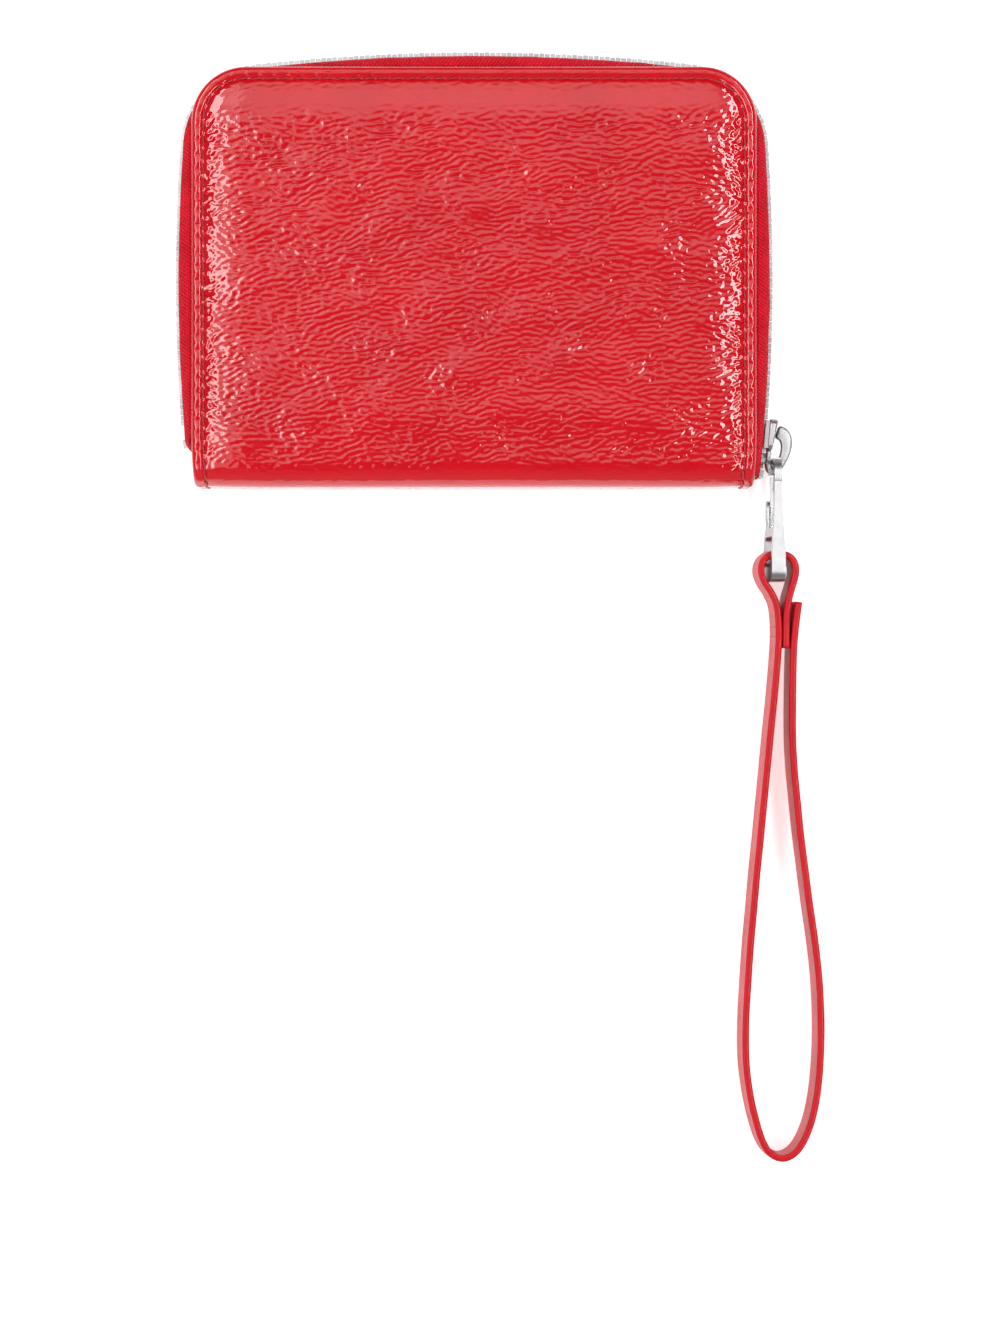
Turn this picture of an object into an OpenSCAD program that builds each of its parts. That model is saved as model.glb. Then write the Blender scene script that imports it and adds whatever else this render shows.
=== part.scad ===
// Zip-around wallet with card slots, a zipped coin pocket and a wrist strap.
// It lies on its back cover: +Z points out of the front cover, +Y to the zipped long edge
// and -Y to the spine. The origin is the middle of the back cover's outer face.

/* [Covers] */
// Width of a cover along the spine
cover_w = 113.2; // [112:0.1:114]
// Height of a cover, from the spine to the zipped long edge
cover_h = 84.2; // [83.5:0.1:85]
// Thickness of the closed wallet
wallet_t = 20; // [20:0.1:21]
// Radius of a cover's two outer corners
corner_r = 11; // [9:0.5:12]
// Thickness of the outer leather
leather_t = 1.2; // [1:0.1:1.3]
// Distance from a cover's edge to its stitch line
stitch_inset = 2.4; // [2:0.1:3]
// Distance from one stitch to the next
stitch_pitch = 2.8; // [2.4:0.1:4]

/* [Zip] */
// Distance from one tooth to the next on the same tape
tooth_pitch = 2.2; // [2.1:0.05:2.4]
// Reach of the chain's middle line from the wallet's middle, to the sides
chain_reach_x = 59.1; // [58.8:0.1:59.4]
// Reach of the chain's middle line from the wallet's middle, to the top
chain_reach_y = 44.8; // [44.4:0.1:45.2]
// Radius of the chain's bowed sides and top
bow_r = 400; // [380:10:450]
// Radius of the chain's corners
chain_corner_r = 16; // [15:0.5:17]
// Thickness of the woven tape
tape_t = 0.6; // [0.4:0.1:0.7]

/* [Slider and clasp] */
// Distance of the closed slider's middle below the wallet's middle
slider_drop = 33; // [32:0.5:34]
// Length of the snap clasp, from its hook wire to its strap bar
clasp_l = 22.7; // [22:0.1:24]
// Lean of the clasp and the strap away from upright
lean = 4; // [3:0.5:5]

/* [Strap] */
// Width of the wrist strap
strap_w = 10; // [9:0.5:10]
// Thickness of the wrist strap
strap_t = 1.4; // [1.2:0.1:1.4]

/* [Hidden] */
$fn = 64;

// Colours
RED = [0.80, 0.12, 0.15];
TAPE_RED = [0.75, 0.08, 0.12];
LINING_RED = [0.55, 0.06, 0.09];
THREAD_RED = [0.55, 0.03, 0.07];
CARD_GREY = [0.62, 0.58, 0.52];
SILVER = [0.82, 0.82, 0.84];

// Layers of one cover, counted from its outer face
hem_t = 0.6;                              // leather edge turned over the board
hem_w = 7;
board_t = 1.2;
lining_t = 0.6;
board_z = leather_t;
tape_z = leather_t + hem_t;
lining_z = board_z + board_t;
cover_t = lining_z + lining_t;            // whole thickness of a cover

// Spine: a flat back between two rolled corners. Each fold's axis lies on its corner's diagonal,
// roll_r * (1 - PI / 4) in from both outer faces, which keeps the leather's length.
spine_y = -cover_h / 2;
roll_r = 5;
fold_gap = 0.5;
spine_w = cover_w - 1.6;
cover_low = spine_y + roll_r + fold_gap;

// Zip chain: a closed run of arcs, each [centre x, centre y, radius, first angle, last angle]
mid_z = wallet_t / 2;
bow_x = chain_reach_x - bow_r;
bow_y = chain_reach_y - bow_r;
corner_c = corner_centre();
side_end = atan2(corner_c[1], corner_c[0] - bow_x);
top_start = atan2(corner_c[1] - bow_y, corner_c[0]);
right_low = -asin(38.4 / bow_r);
left_low = -asin(32.5 / bow_r);
RIGHT_TUCK = [6, 15];                     // radius and turn
LEFT_TUCK = [3, 60];
CHAIN = [
    tuck(right_low, 1, RIGHT_TUCK),
    [bow_x, 0, bow_r, right_low, side_end],
    [corner_c[0], corner_c[1], chain_corner_r, side_end, top_start],
    [0, bow_y, bow_r, top_start, 180 - top_start],
    [-corner_c[0], corner_c[1], chain_corner_r, 180 - top_start, 180 - side_end],
    [-bow_x, 0, bow_r, 180 - side_end, 180 - left_low],
    tuck(left_low, -1, LEFT_TUCK)
];
tooth_l = 0.95;                           // along the chain
tooth_h = 2.0;                            // across the chain, along Z
tooth_w = 2.2;                            // out of the tape's two faces
overlap_z = 0.6;                          // how far a tooth reaches past the chain's middle
tape_edge = 0.9;                          // from the chain's middle to the tape's edge
first_tooth = 2.6;
last_tooth = chain_l(len(CHAIN)) - arc_l(CHAIN[6]) - 1.2;
tooth_count = floor((last_tooth - first_tooth) / tooth_pitch);

// Slider: u runs down the chain, v out of the wallet
slider_turn = -asin(slider_drop / bow_r);
plate_up = 5.4;                           // a plate's reach up the chain
plate_down = 4.3;                         // and down it
slider_h = 8.4;
plate_gap = 1.4;                          // from the chain's middle to a plate's inner face
plate_t = 1.0;
slot = 0.75;                              // half the slot that the tape passes through
crown_t = 3;
slider_s = chain_l(1) + bow_r * (slider_turn - right_low) * PI / 180;
part_rise = 1.7;                          // how far the rows part inside the slider
wire_u = 3.4;                             // where the clasp's wire sits in the crown
wire_v = 3.45;
wire_d = 1.7;

// Clasp: a runs from the hook wire to the strap bar, and z is measured from the table
wire_x = chain_x(slider_turn) - wire_u * sin(-slider_turn) + wire_v * cos(slider_turn);
wire_y = -slider_drop - wire_u * cos(slider_turn) - wire_v * sin(-slider_turn);
clasp_w = 2.8;
bar_d = 3;
pivot_a = 9.2;
rivet_a = 11.3;
pivot_z = 3.1;
rivet_z = 13.9;
pin_r = 0.5;
eye_low = 2.3;
eye_high = 13.3;
clasp_low = 0.3;
clasp_high = 15.2;

// Card side and coin side
pocket_w = 104;
slot_t = 0.6;
bill_gap = 1.0;
bill_z = wallet_t - cover_t - bill_gap - slot_t;
card_low = cover_low + 1;
card_top = 30;
card_step = 8;
coin_w = 100;
coin_low = -34;
coin_high = 34;
coin_zip_y = 23;
coin_depth = 3.6;
coin_z = cover_t + coin_depth;
coin_wall = 1.6;
coin_chain_l = 88;
coin_slider_l = 8;
coin_start = 3.6;                         // the first tooth stands behind the slider's bridge
coin_teeth = floor((coin_chain_l - coin_start) / tooth_pitch);

// Strap: the middle line of the upright leather band, seen from above. It starts at the cut
// end, runs down the right leg, round the loop and up the left leg, then over the clasp's bar
// to its tail between the two legs.
STRAP = [
    [65.1, -65.0], [64.6, -69.0], [64.2, -73.0], [64.0, -78.0], [63.9, -85.0], [63.9, -92.0],
    [64.2, -98.0], [64.8, -104.5], [65.5, -111.5], [66.4, -118.5], [67.3, -125.5],
    [68.4, -133.0], [69.3, -141.0], [69.7, -149.0], [69.6, -157.0], [69.0, -164.0],
    [67.9, -169.6], [66.3, -173.8], [64.5, -176.3], [62.2, -177.4], [59.8, -176.6],
    [58.1, -174.3], [56.7, -170.2], [55.4, -164.5], [54.6, -158.0], [54.5, -150.5],
    [54.9, -142.5], [55.4, -135.0], [56.1, -127.0], [56.8, -119.0], [57.6, -111.0],
    [58.5, -101.5], [59.4, -92.0], [60.2, -84.0], [60.8, -77.0], [61.1, -71.0],
    [60.7, -66.0], [59.6, -63.2], [58.2, -61.0], [57.5, -58.9], [57.8, -57.0],
    [59.0, -55.7], [61.0, -55.3], [63.0, -55.7], [64.2, -57.0], [64.5, -58.9],
    [64.0, -61.2], [63.2, -64.0], [62.7, -67.5], [62.6, -71.0], [62.6, -74.3]
];
strap_rest = 0.15;                        // the strap's lowest edge above the table
strap_far = -177.4;
strap_lift = 2.65;                        // how much higher it stands at the clasp

// The centre of the chain's corner arc, which touches the side's bow and the top's bow
function corner_centre() =
    let (
        a = [chain_reach_x - bow_r, 0],
        b = [0, chain_reach_y - bow_r],
        r = bow_r - chain_corner_r,
        d = norm(b - a),
        along = (b - a) / d,
        across = sqrt(r * r - d * d / 4)
    )
    a + along * d / 2 + [-along[1], along[0]] * across;

// A tuck at the end of a side's bow, for side = 1 (right) or -1 (left)
function tuck(low, side, bend) =
    let (r = bow_r - bend[0], x = side * (bow_x + r * cos(low)), y = r * sin(low))
    side > 0 ? [x, y, bend[0], low - bend[1], low] : [x, y, bend[0], 180 - low, 180 - low + bend[1]];

function arc_l(arc) = arc[2] * (arc[4] - arc[3]) * PI / 180;
function chain_l(n) = n == 0 ? 0 : arc_l(CHAIN[n - 1]) + chain_l(n - 1);
function chain_x(turn) = bow_x + bow_r * cos(turn);

// The chain's place at a length s along it: [x, y, direction of the outward normal]
function along_chain(s, n = 0) =
    n < len(CHAIN) - 1 && s > arc_l(CHAIN[n])
    ? along_chain(s - arc_l(CHAIN[n]), n + 1)
    : let (arc = CHAIN[n], turn = arc[3] + s / arc[2] * 180 / PI)
      [arc[0] + arc[2] * cos(turn), arc[1] + arc[2] * sin(turn), turn];

// Points of the chain's line moved out by d. Big bows take few points, corners take more.
function chain_line(d) = [
    for (arc = CHAIN)
        let (steps = max(4, ceil((arc[4] - arc[3]) / 7)))
        for (i = [0 : steps])
            let (turn = arc[3] + (arc[4] - arc[3]) * i / steps)
            [arc[0] + (arc[2] + d) * cos(turn), arc[1] + (arc[2] + d) * sin(turn)]
];

function backwards(list) = [for (i = [len(list) - 1 : -1 : 0]) list[i]];

// Height of the strap's middle line at a place along Y
function strap_z(y) =
    strap_rest + strap_w / 2 + 0.05 + strap_lift * (y - strap_far) / (-55 - strap_far);

// A cover's outline, drawn in by inset, with a straight edge at the spine
module cover_outline(inset = 0) {
    w = cover_w - 2 * inset;
    r = max(corner_r - inset, 1);
    top = cover_h / 2 - inset;
    union() {
        translate([-w / 2, cover_low]) square([w, top - r - cover_low]);
        translate([-w / 2 + r, cover_low]) square([w - 2 * r, top - cover_low]);
        for (side = [-1, 1]) translate([side * (w / 2 - r), top - r]) circle(r);
    }
}

// A layer of a cover between two heights
module cover_layer(z, t, inset) {
    translate([0, 0, z]) linear_extrude(t) cover_outline(inset);
}

// The front cover is the back cover turned over
module front_side() {
    translate([0, 0, wallet_t]) mirror([0, 0, 1]) children();
}

module cover_leather() {
    cover_layer(0, leather_t, 0);
    difference() {
        cover_layer(leather_t, hem_t, 0);
        translate([0, 0, -0.1]) cover_layer(leather_t, hem_t + 0.2, hem_w - 2);
        translate([-cover_w / 2 + hem_w - 2, cover_low - 1, leather_t - 0.1])
            cube([cover_w - 2 * hem_w + 4, 4, hem_t + 0.2]);
    }
}

module cover_board() {
    cover_layer(board_z, board_t, hem_w - 1.8);
}

module cover_lining() {
    cover_layer(lining_z, lining_t, 2.2);
}

// One run of thread: n stitches from a to b, sunk into the leather at height z
module stitch_run(a, b, z) {
    run = norm(b - a);
    n = floor(run / stitch_pitch);
    turn = atan2(b[1] - a[1], b[0] - a[0]);
    for (i = [0 : n - 1]) {
        place = a + (b - a) * (i + 0.5) / n;
        translate([place[0], place[1], z]) rotate([0, 0, turn]) stitch();
    }
}

module stitch() {
    rotate([0, 90, 0]) cylinder(h = 2.1, r = 0.24, center = true, $fn = 16);
}

// Thread round three sides of a cover and its two corners
module cover_stitches() {
    x = cover_w / 2 - stitch_inset;
    y = cover_h / 2 - stitch_inset;
    r = corner_r - stitch_inset;
    z = 0.25;
    stitch_run([x, cover_low], [x, y - r], z);
    stitch_run([x - r, y], [r - x, y], z);
    stitch_run([-x, y - r], [-x, cover_low], z);
    turns = floor(r * PI / 2 / stitch_pitch);
    for (side = [-1, 1], i = [0 : turns - 1]) {
        turn = 90 * (i + 0.5) / turns;
        translate([side * (x - r + r * cos(turn)), y - r + r * sin(turn), z])
            rotate([0, 0, side * (turn + 90)]) stitch();
    }
}

// The tape: a flange sewn inside the cover, and a wall that stands up to the chain
module zip_tape() {
    translate([0, 0, tape_z]) linear_extrude(mid_z - tape_edge - tape_z)
        polygon(concat(chain_line(tape_t / 2), backwards(chain_line(-tape_t / 2))));
    translate([0, 0, tape_z]) linear_extrude(tape_t) difference() {
        polygon(chain_line(0));
        cover_outline(hem_w - 1.8);
        translate([-cover_w, cover_low - 20]) square([2 * cover_w, 20]);
    }
}

// How far the rows stand apart at a length s: closed above the slider, parted below its middle
function parted(s) = part_rise * min(1, max(0, (slider_s + 1.2 - s) / 2.6));

// The teeth of one tape, every pitch along the chain
module zip_row(start) {
    for (i = [0 : tooth_count - 1]) {
        s = first_tooth + start + i * tooth_pitch;
        place = along_chain(s);
        low = mid_z + overlap_z - tooth_h - parted(s);
        translate([place[0], place[1], low]) rotate([0, 0, place[2]])
            translate([-tooth_w / 2, -tooth_l / 2, 0]) cube([tooth_w, tooth_l, tooth_h]);
    }
}

// A small clip pinched on the tape at the chain's end
module stop_clip(s, low, high) {
    place = along_chain(s);
    translate([place[0], place[1], low]) rotate([0, 0, place[2]])
        translate([-tooth_w / 2, -0.8, 0]) cube([tooth_w, 1.6, high - low]);
}

module back_leather() { color(RED) cover_leather(); }
module back_board() { color(CARD_GREY) cover_board(); }
module back_lining() { color(LINING_RED) cover_lining(); }
module back_stitching() { color(THREAD_RED) cover_stitches(); }
module back_zip_tape() { color(TAPE_RED) zip_tape(); }
module back_zip_teeth() { color(SILVER) zip_row(0); }

module zip_bottom_stop() {
    color(SILVER) stop_clip(last_tooth + 1.6, mid_z - 2.2, mid_z + 0.3);
}

module back_top_stop() {
    color(SILVER) stop_clip(first_tooth - 1.7, mid_z - 2.6 - part_rise, mid_z - 0.4 - part_rise);
}

module front_leather() { color(RED) front_side() cover_leather(); }
module front_board() { color(CARD_GREY) front_side() cover_board(); }
module front_lining() { color(LINING_RED) front_side() cover_lining(); }
module front_stitching() { color(THREAD_RED) front_side() cover_stitches(); }
module front_zip_tape() { color(TAPE_RED) front_side() zip_tape(); }
module front_zip_teeth() { color(SILVER) front_side() zip_row(tooth_pitch / 2); }

module front_top_stop() {
    color(SILVER) front_side()
        stop_clip(first_tooth - 1.7, mid_z - 2.6 - part_rise, mid_z - 0.4 - part_rise);
}

// The spine: a flat back between two rolled corners, drawn in the Y-Z plane
module spine_section(out, t) {
    r = roll_r - out;
    y = spine_y + out;
    difference() {
        union() {
            translate([y, roll_r]) square([t, wallet_t - 2 * roll_r]);
            for (z = [roll_r, wallet_t - roll_r]) translate([spine_y + roll_r, z]) circle(r);
        }
        for (z = [roll_r, wallet_t - roll_r]) translate([spine_y + roll_r, z]) circle(r - t);
        translate([spine_y + roll_r, -1]) square([roll_r + 1, wallet_t + 2]);
        translate([y + t, roll_r]) square([roll_r, wallet_t - 2 * roll_r]);
    }
}

module spine_band(out, t, w) {
    translate([-w / 2, 0, 0]) rotate([90, 0, 90]) linear_extrude(w) spine_section(out, t);
}

module spine_leather() { color(RED) spine_band(0, leather_t, spine_w); }
module spine_lining() { color(LINING_RED) spine_band(leather_t, lining_t, spine_w - 2); }

// Coin pocket: a gusset ring, a panel with a zip near its top, and a flap above the zip
module coin_outline(inset, low, high) {
    translate([-coin_w / 2 + inset, low + inset]) square([coin_w - 2 * inset, high - low - 2 * inset]);
}

module coin_gusset() {
    color(LINING_RED) translate([0, 0, cover_t]) linear_extrude(coin_depth) difference() {
        coin_outline(0, coin_low, coin_high);
        coin_outline(coin_wall, coin_low, coin_high);
    }
}

module coin_panel() {
    color(RED) translate([-coin_w / 2, coin_low, coin_z])
        cube([coin_w, coin_zip_y - 2.6 - coin_low, slot_t]);
}

module coin_flap() {
    color(RED) translate([-coin_w / 2, coin_zip_y + 2.6, coin_z])
        cube([coin_w, coin_high - coin_zip_y - 2.6, slot_t]);
}

module coin_tape(side) {
    color(TAPE_RED) translate([-coin_w / 2 + 1, coin_zip_y + min(side * 0.8, side * 4.6), coin_z - 0.5])
        cube([coin_w - 2, 3.8, 0.5]);
}

module coin_tape_lower() { coin_tape(-1); }
module coin_tape_upper() { coin_tape(1); }

// Coin zip teeth lie flat: each reaches from its tape past the zip's middle
module coin_row(side, start) {
    color(SILVER) for (i = [0 : coin_teeth - 1])
        translate([coin_start - coin_chain_l / 2 + start + i * tooth_pitch,
                   coin_zip_y + min(-side * 0.5, side * 1.4), coin_z - 0.5])
            cube([tooth_l, 1.9, 1.1]);
}

module coin_teeth_lower() { coin_row(-1, 0); }
module coin_teeth_upper() { coin_row(1, tooth_pitch / 2); }

module coin_zip_stops() {
    color(SILVER) for (x = [-coin_chain_l / 2 - 2.2, coin_chain_l / 2 + 1])
        translate([x, coin_zip_y - 1.4, coin_z - 0.5]) cube([1.4, 2.8, 1.2]);
}

module coin_stitching() {
    z = coin_z + slot_t - 0.24;
    edge = coin_w / 2 - 0.8;
    color(THREAD_RED) {
        for (y = [coin_low + 0.8, coin_high - 0.8]) stitch_run([1.2 - edge, y], [edge - 1.2, y], z);
        for (x = [-edge, edge], span = [[coin_low + 2, coin_zip_y - 4], [coin_zip_y + 4, coin_high - 2]])
            stitch_run([x, span[0]], [x, span[1]], z);
    }
}

// The coin zip's slider stands over its chain at the left end, with a loop for its pull
module coin_slider() {
    x = -coin_chain_l / 2 + 1;
    z = coin_z + slot_t + 0.35;
    color(SILVER) {
        translate([x, coin_zip_y - 2.9, z]) cube([coin_slider_l, 5.8, 0.8]);
        translate([x, coin_zip_y - 2.9, coin_z - 1.5]) cube([coin_slider_l, 5.8, 0.7]);
        translate([x, coin_zip_y - 0.5, coin_z - 1]) cube([2, 1, 2]);
        translate([x + 1.2, coin_zip_y, z + 1.4]) rotate([90, 0, 0]) difference() {
            cylinder(h = 1.6, r = 1.2, center = true);
            cylinder(h = 2, r = 0.5, center = true);
        }
    }
}

// The pull: a flat tab with a cross wire through the slider's loop
module coin_pull() {
    x = -coin_chain_l / 2 + 2.2;
    z = coin_z + slot_t + 1.75;
    color(SILVER) {
        translate([x, coin_zip_y, z]) rotate([90, 0, 0])
            cylinder(h = 4.4, r = 0.45, center = true, $fn = 32);
        for (side = [-1, 1]) translate([x - 0.45, coin_zip_y + side * 1.7 - 0.5, z - 0.25])
            cube([4, 1, 0.7]);
        translate([x + 2.8, coin_zip_y - 2.2, z - 0.25]) cube([11, 4.4, 0.7]);
    }
}

// Card side: a bill panel with spacer hems, and four stepped card slots on it
module pocket_outline(top) {
    translate([-pocket_w / 2, card_low]) square([pocket_w, top - card_low]);
}

module bill_panel() {
    color(LINING_RED) {
        translate([0, 0, bill_z]) linear_extrude(slot_t) pocket_outline(card_top + 6);
        translate([0, 0, bill_z + slot_t]) linear_extrude(bill_gap) difference() {
            pocket_outline(card_top + 6);
            translate([-pocket_w / 2 + 3, card_low + 3]) square([pocket_w - 6, card_top + 60]);
        }
    }
}

module card_slot(n) {
    color(RED) translate([0, 0, bill_z - n * slot_t]) linear_extrude(slot_t)
        pocket_outline(card_top - (n - 1) * card_step);
}

module card_slot_1() { card_slot(1); }
module card_slot_2() { card_slot(2); }
module card_slot_3() { card_slot(3); }
module card_slot_4() { card_slot(4); }

module card_stitching() {
    z = bill_z - 4 * slot_t + 0.24;
    top = card_top - 3 * card_step;
    color(THREAD_RED) {
        for (x = [1.2 - pocket_w / 2, pocket_w / 2 - 1.2]) stitch_run([x, card_low + 1], [x, top - 1], z);
        stitch_run([-pocket_w / 2 + 2, card_low + 1.2], [pocket_w / 2 - 2, card_low + 1.2], z);
    }
}

// The slider's frame: u down the chain, v out of the wallet, w along Z from the chain's middle
module at_slider() {
    translate([chain_x(slider_turn), -slider_drop, mid_z]) rotate([0, 0, slider_turn])
        mirror([0, 1, 0]) rotate([0, 0, 90]) mirror([0, 1, 0]) children();
}

// A plate with bevelled corners and lips that turn in over the teeth
module slider_plate() {
    side = slider_h / 2;
    heel = [[-plate_up, 1 - side], [1 - plate_up, 0.3 - side]];
    nose = [[plate_down - 2, -side], [plate_down, 2 - side]];
    outline = concat(heel, nose);
    translate([0, plate_gap, 0]) rotate([-90, 0, 0]) linear_extrude(plate_t)
        polygon(concat(outline, [for (p = backwards(outline)) [p[0], -p[1]]]));
    for (w = [0.3 - side, side - 0.9])
        translate([1 - plate_up, slot, w])
            cube([plate_up + plate_down - 3, plate_gap - slot + 0.1, 0.6]);
}

module zip_slider() {
    color(SILVER) at_slider() union() {
        slider_plate();
        mirror([0, 1, 0]) slider_plate();
        translate([plate_down - 2.4, -plate_gap - 0.1, -0.7]) cube([2.2, 2 * plate_gap + 0.2, 1.4]);
        translate([0, 0, -crown_t / 2]) linear_extrude(crown_t) crown_shape();
    }
}

// The crown: a hook that leaves the plate's top, arches out and comes back near its nose
module crown_shape() {
    difference() {
        polygon([
            [-4.5, 2.4], [-4.75, 3.9], [-3.9, 5.8], [-2.9, 6.5], [-0.3, 6.6], [1.6, 6.3],
            [3.3, 5.9], [5.0, 5.3], [5.8, 4.3], [5.6, 3.1], [4.8, 2.9], [0.5, 2.2]
        ]);
        polygon([
            [-1.9, 3.1], [-1.2, 4.6], [-0.4, 5.0], [0.9, 5.0], [2.4, 4.8], [4.0, 4.6],
            [4.7, 4.1], [4.7, 3.0], [6, 2.9], [6, 2.4], [0.5, 2.4], [-0.8, 2.6]
        ]);
    }
}

// The clasp's frame: a along its length from the hook wire, z up from the table, leaning out
module at_clasp() {
    translate([wire_x, wire_y, 0]) lean_over() rotate([90, 0, -90]) children();
}

module lean_over() {
    translate([0, 0, mid_z]) rotate([0, lean, 0]) translate([0, 0, -mid_z]) children();
}

// The hook body seen from the side: strap eye, long leg, arched top and tip
module clasp_side() {
    difference() {
        union() {
            rounded([clasp_l - 9.4, clasp_low], [clasp_l + bar_d / 2, clasp_high], 2.2);
            polygon([
                [4, clasp_high - 0.8], [clasp_l - 7, clasp_high],
                [clasp_l - 7, eye_high], [4, clasp_high - 2.5]
            ]);
            rounded([-wire_d / 2, 3.4], [6, clasp_high - 0.8], 3);
            translate([pivot_a + 2, pivot_z - 1.5]) square([3, 3]);
        }
        rounded([clasp_l - 7.6, eye_low], [clasp_l - bar_d / 2, eye_high], 1);
        rounded([wire_d / 2, 5.1], [5.2, clasp_high - 2.5], 1.4);
        translate([-1, 5.3]) square([2, 7.4]);
        translate([2.6, 0]) square([3.6, clasp_high - 4]);
    }
}

// A rectangle from one corner to the other with round corners
module rounded(low, high, r) {
    union() {
        translate([low[0] + r, low[1]]) square([high[0] - low[0] - 2 * r, high[1] - low[1]]);
        translate([low[0], low[1] + r]) square([high[0] - low[0], high[1] - low[1] - 2 * r]);
        for (x = [low[0] + r, high[0] - r], y = [low[1] + r, high[1] - r])
            translate([x, y]) circle(r, $fn = 40);
    }
}

// The plan width of the clasp: wide at the strap bar and narrow at the hook wire
module clasp_taper() {
    polygon([
        [-2, -0.75], [8, -0.8], [12, -0.95], [16, -1.2], [19, -clasp_w / 2], [clasp_l + 3, -clasp_w / 2],
        [clasp_l + 3, clasp_w / 2], [19, clasp_w / 2], [16, 1.2], [12, 0.95], [8, 0.8], [-2, 0.75]
    ]);
}

module clasp_hook() {
    color(SILVER) at_clasp() difference() {
        union() {
            translate([0, 5.1, 0]) rotate([-90, 0, 0]) cylinder(h = 7.9, r = wire_d / 2);
            intersection() {
                translate([0, 0, -3]) linear_extrude(6) clasp_side();
                translate([0, 20, 0]) rotate([90, 0, 0]) linear_extrude(25) clasp_taper();
            }
            for (side = [-1, 1]) translate([0, 0, side * 0.8 - 0.25]) linear_extrude(0.5) clasp_ear();
        }
        translate([pivot_a, pivot_z, -3]) cylinder(h = 6, r = pin_r);
        translate([rivet_a, rivet_z, -3]) cylinder(h = 6, r = pin_r);
    }
}

// The ears beside the gate's knuckle hold its pin
module clasp_ear() {
    union() {
        translate([pivot_a, pivot_z]) circle(1.5);
        translate([pivot_a, pivot_z - 1.5]) square([3, 3]);
    }
}

module clasp_gate() {
    color(SILVER) at_clasp() difference() {
        union() {
            translate([pivot_a, pivot_z, -0.45]) cylinder(h = 0.9, r = 1.35);
            translate([2.9, 3.5, -0.45]) cube([pivot_a - 3.2, 0.9, 0.9]);
        }
        translate([pivot_a, pivot_z, -3]) cylinder(h = 6, r = pin_r + 0.05);
    }
}

module clasp_pin() {
    color(SILVER) at_clasp() translate([pivot_a, pivot_z, -1.1]) cylinder(h = 2.2, r = pin_r);
}

module clasp_rivet() {
    color(SILVER) at_clasp() translate([rivet_a, rivet_z, -1]) cylinder(h = 2, r = pin_r);
}

// The gate's spring: a leaf that stands on the eye and presses on the gate's back
module clasp_spring() {
    color(SILVER) at_clasp() translate([clasp_l - 9.4 - 4.6, 5.0, -0.45]) cube([4.7, 0.3, 0.9]);
}

// The strap: an upright band swept along its middle line, leaning like the clasp
module wrist_strap() {
    n = len(STRAP);
    sides = [[-1, -1], [1, -1], [1, 1], [-1, 1]];
    points = [
        for (i = [0 : n - 1])
            let (
                before = STRAP[max(i - 1, 0)],
                after = STRAP[min(i + 1, n - 1)],
                way = (after - before) / norm(after - before)
            )
            for (s = sides)
                [
                    STRAP[i][0] - way[1] * s[0] * strap_t / 2 + sin(lean) * s[1] * strap_w / 2,
                    STRAP[i][1] + way[0] * s[0] * strap_t / 2,
                    strap_z(STRAP[i][1]) + cos(lean) * s[1] * strap_w / 2
                ]
    ];
    walls = [
        for (i = [0 : n - 2], k = [0 : 3])
            [4 * i + k, 4 * i + (k + 1) % 4, 4 * i + 4 + (k + 1) % 4, 4 * i + 4 + k]
    ];
    last = 4 * (n - 1);
    color(RED) polyhedron(points, concat(
        [[3, 2, 1, 0]], walls, [[last, last + 1, last + 2, last + 3]]
    ), convexity = 10);
}

// Thread across the three layers where the strap is sewn closed
module strap_stitching() {
    color(THREAD_RED) for (row = [-2, 0, 2]) {
        y = -70 + row;
        translate([62.6, y, strap_z(y)]) rotate([0, lean, 0]) for (w = [-3, -1, 1, 3])
            translate([-2.2, 0, w]) rotate([0, 90, 0]) cylinder(h = 4.6, r = 0.25, $fn = 16);
    }
}

back_leather();
back_board();
back_lining();
back_stitching();
back_zip_tape();
back_zip_teeth();
zip_bottom_stop();
back_top_stop();
coin_gusset();
coin_panel();
coin_flap();
coin_tape_lower();
coin_tape_upper();
coin_teeth_lower();
coin_teeth_upper();
coin_zip_stops();
coin_stitching();
coin_slider();
coin_pull();
spine_leather();
spine_lining();
front_leather();
front_board();
front_lining();
front_stitching();
front_zip_tape();
front_zip_teeth();
front_top_stop();
bill_panel();
card_slot_1();
card_slot_2();
card_slot_3();
card_slot_4();
card_stitching();
zip_slider();
clasp_hook();
clasp_gate();
clasp_pin();
clasp_rivet();
clasp_spring();
wrist_strap();
strap_stitching();
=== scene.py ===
import math

import bmesh
import bpy
import numpy as np
from mathutils import Matrix, Vector


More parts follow.
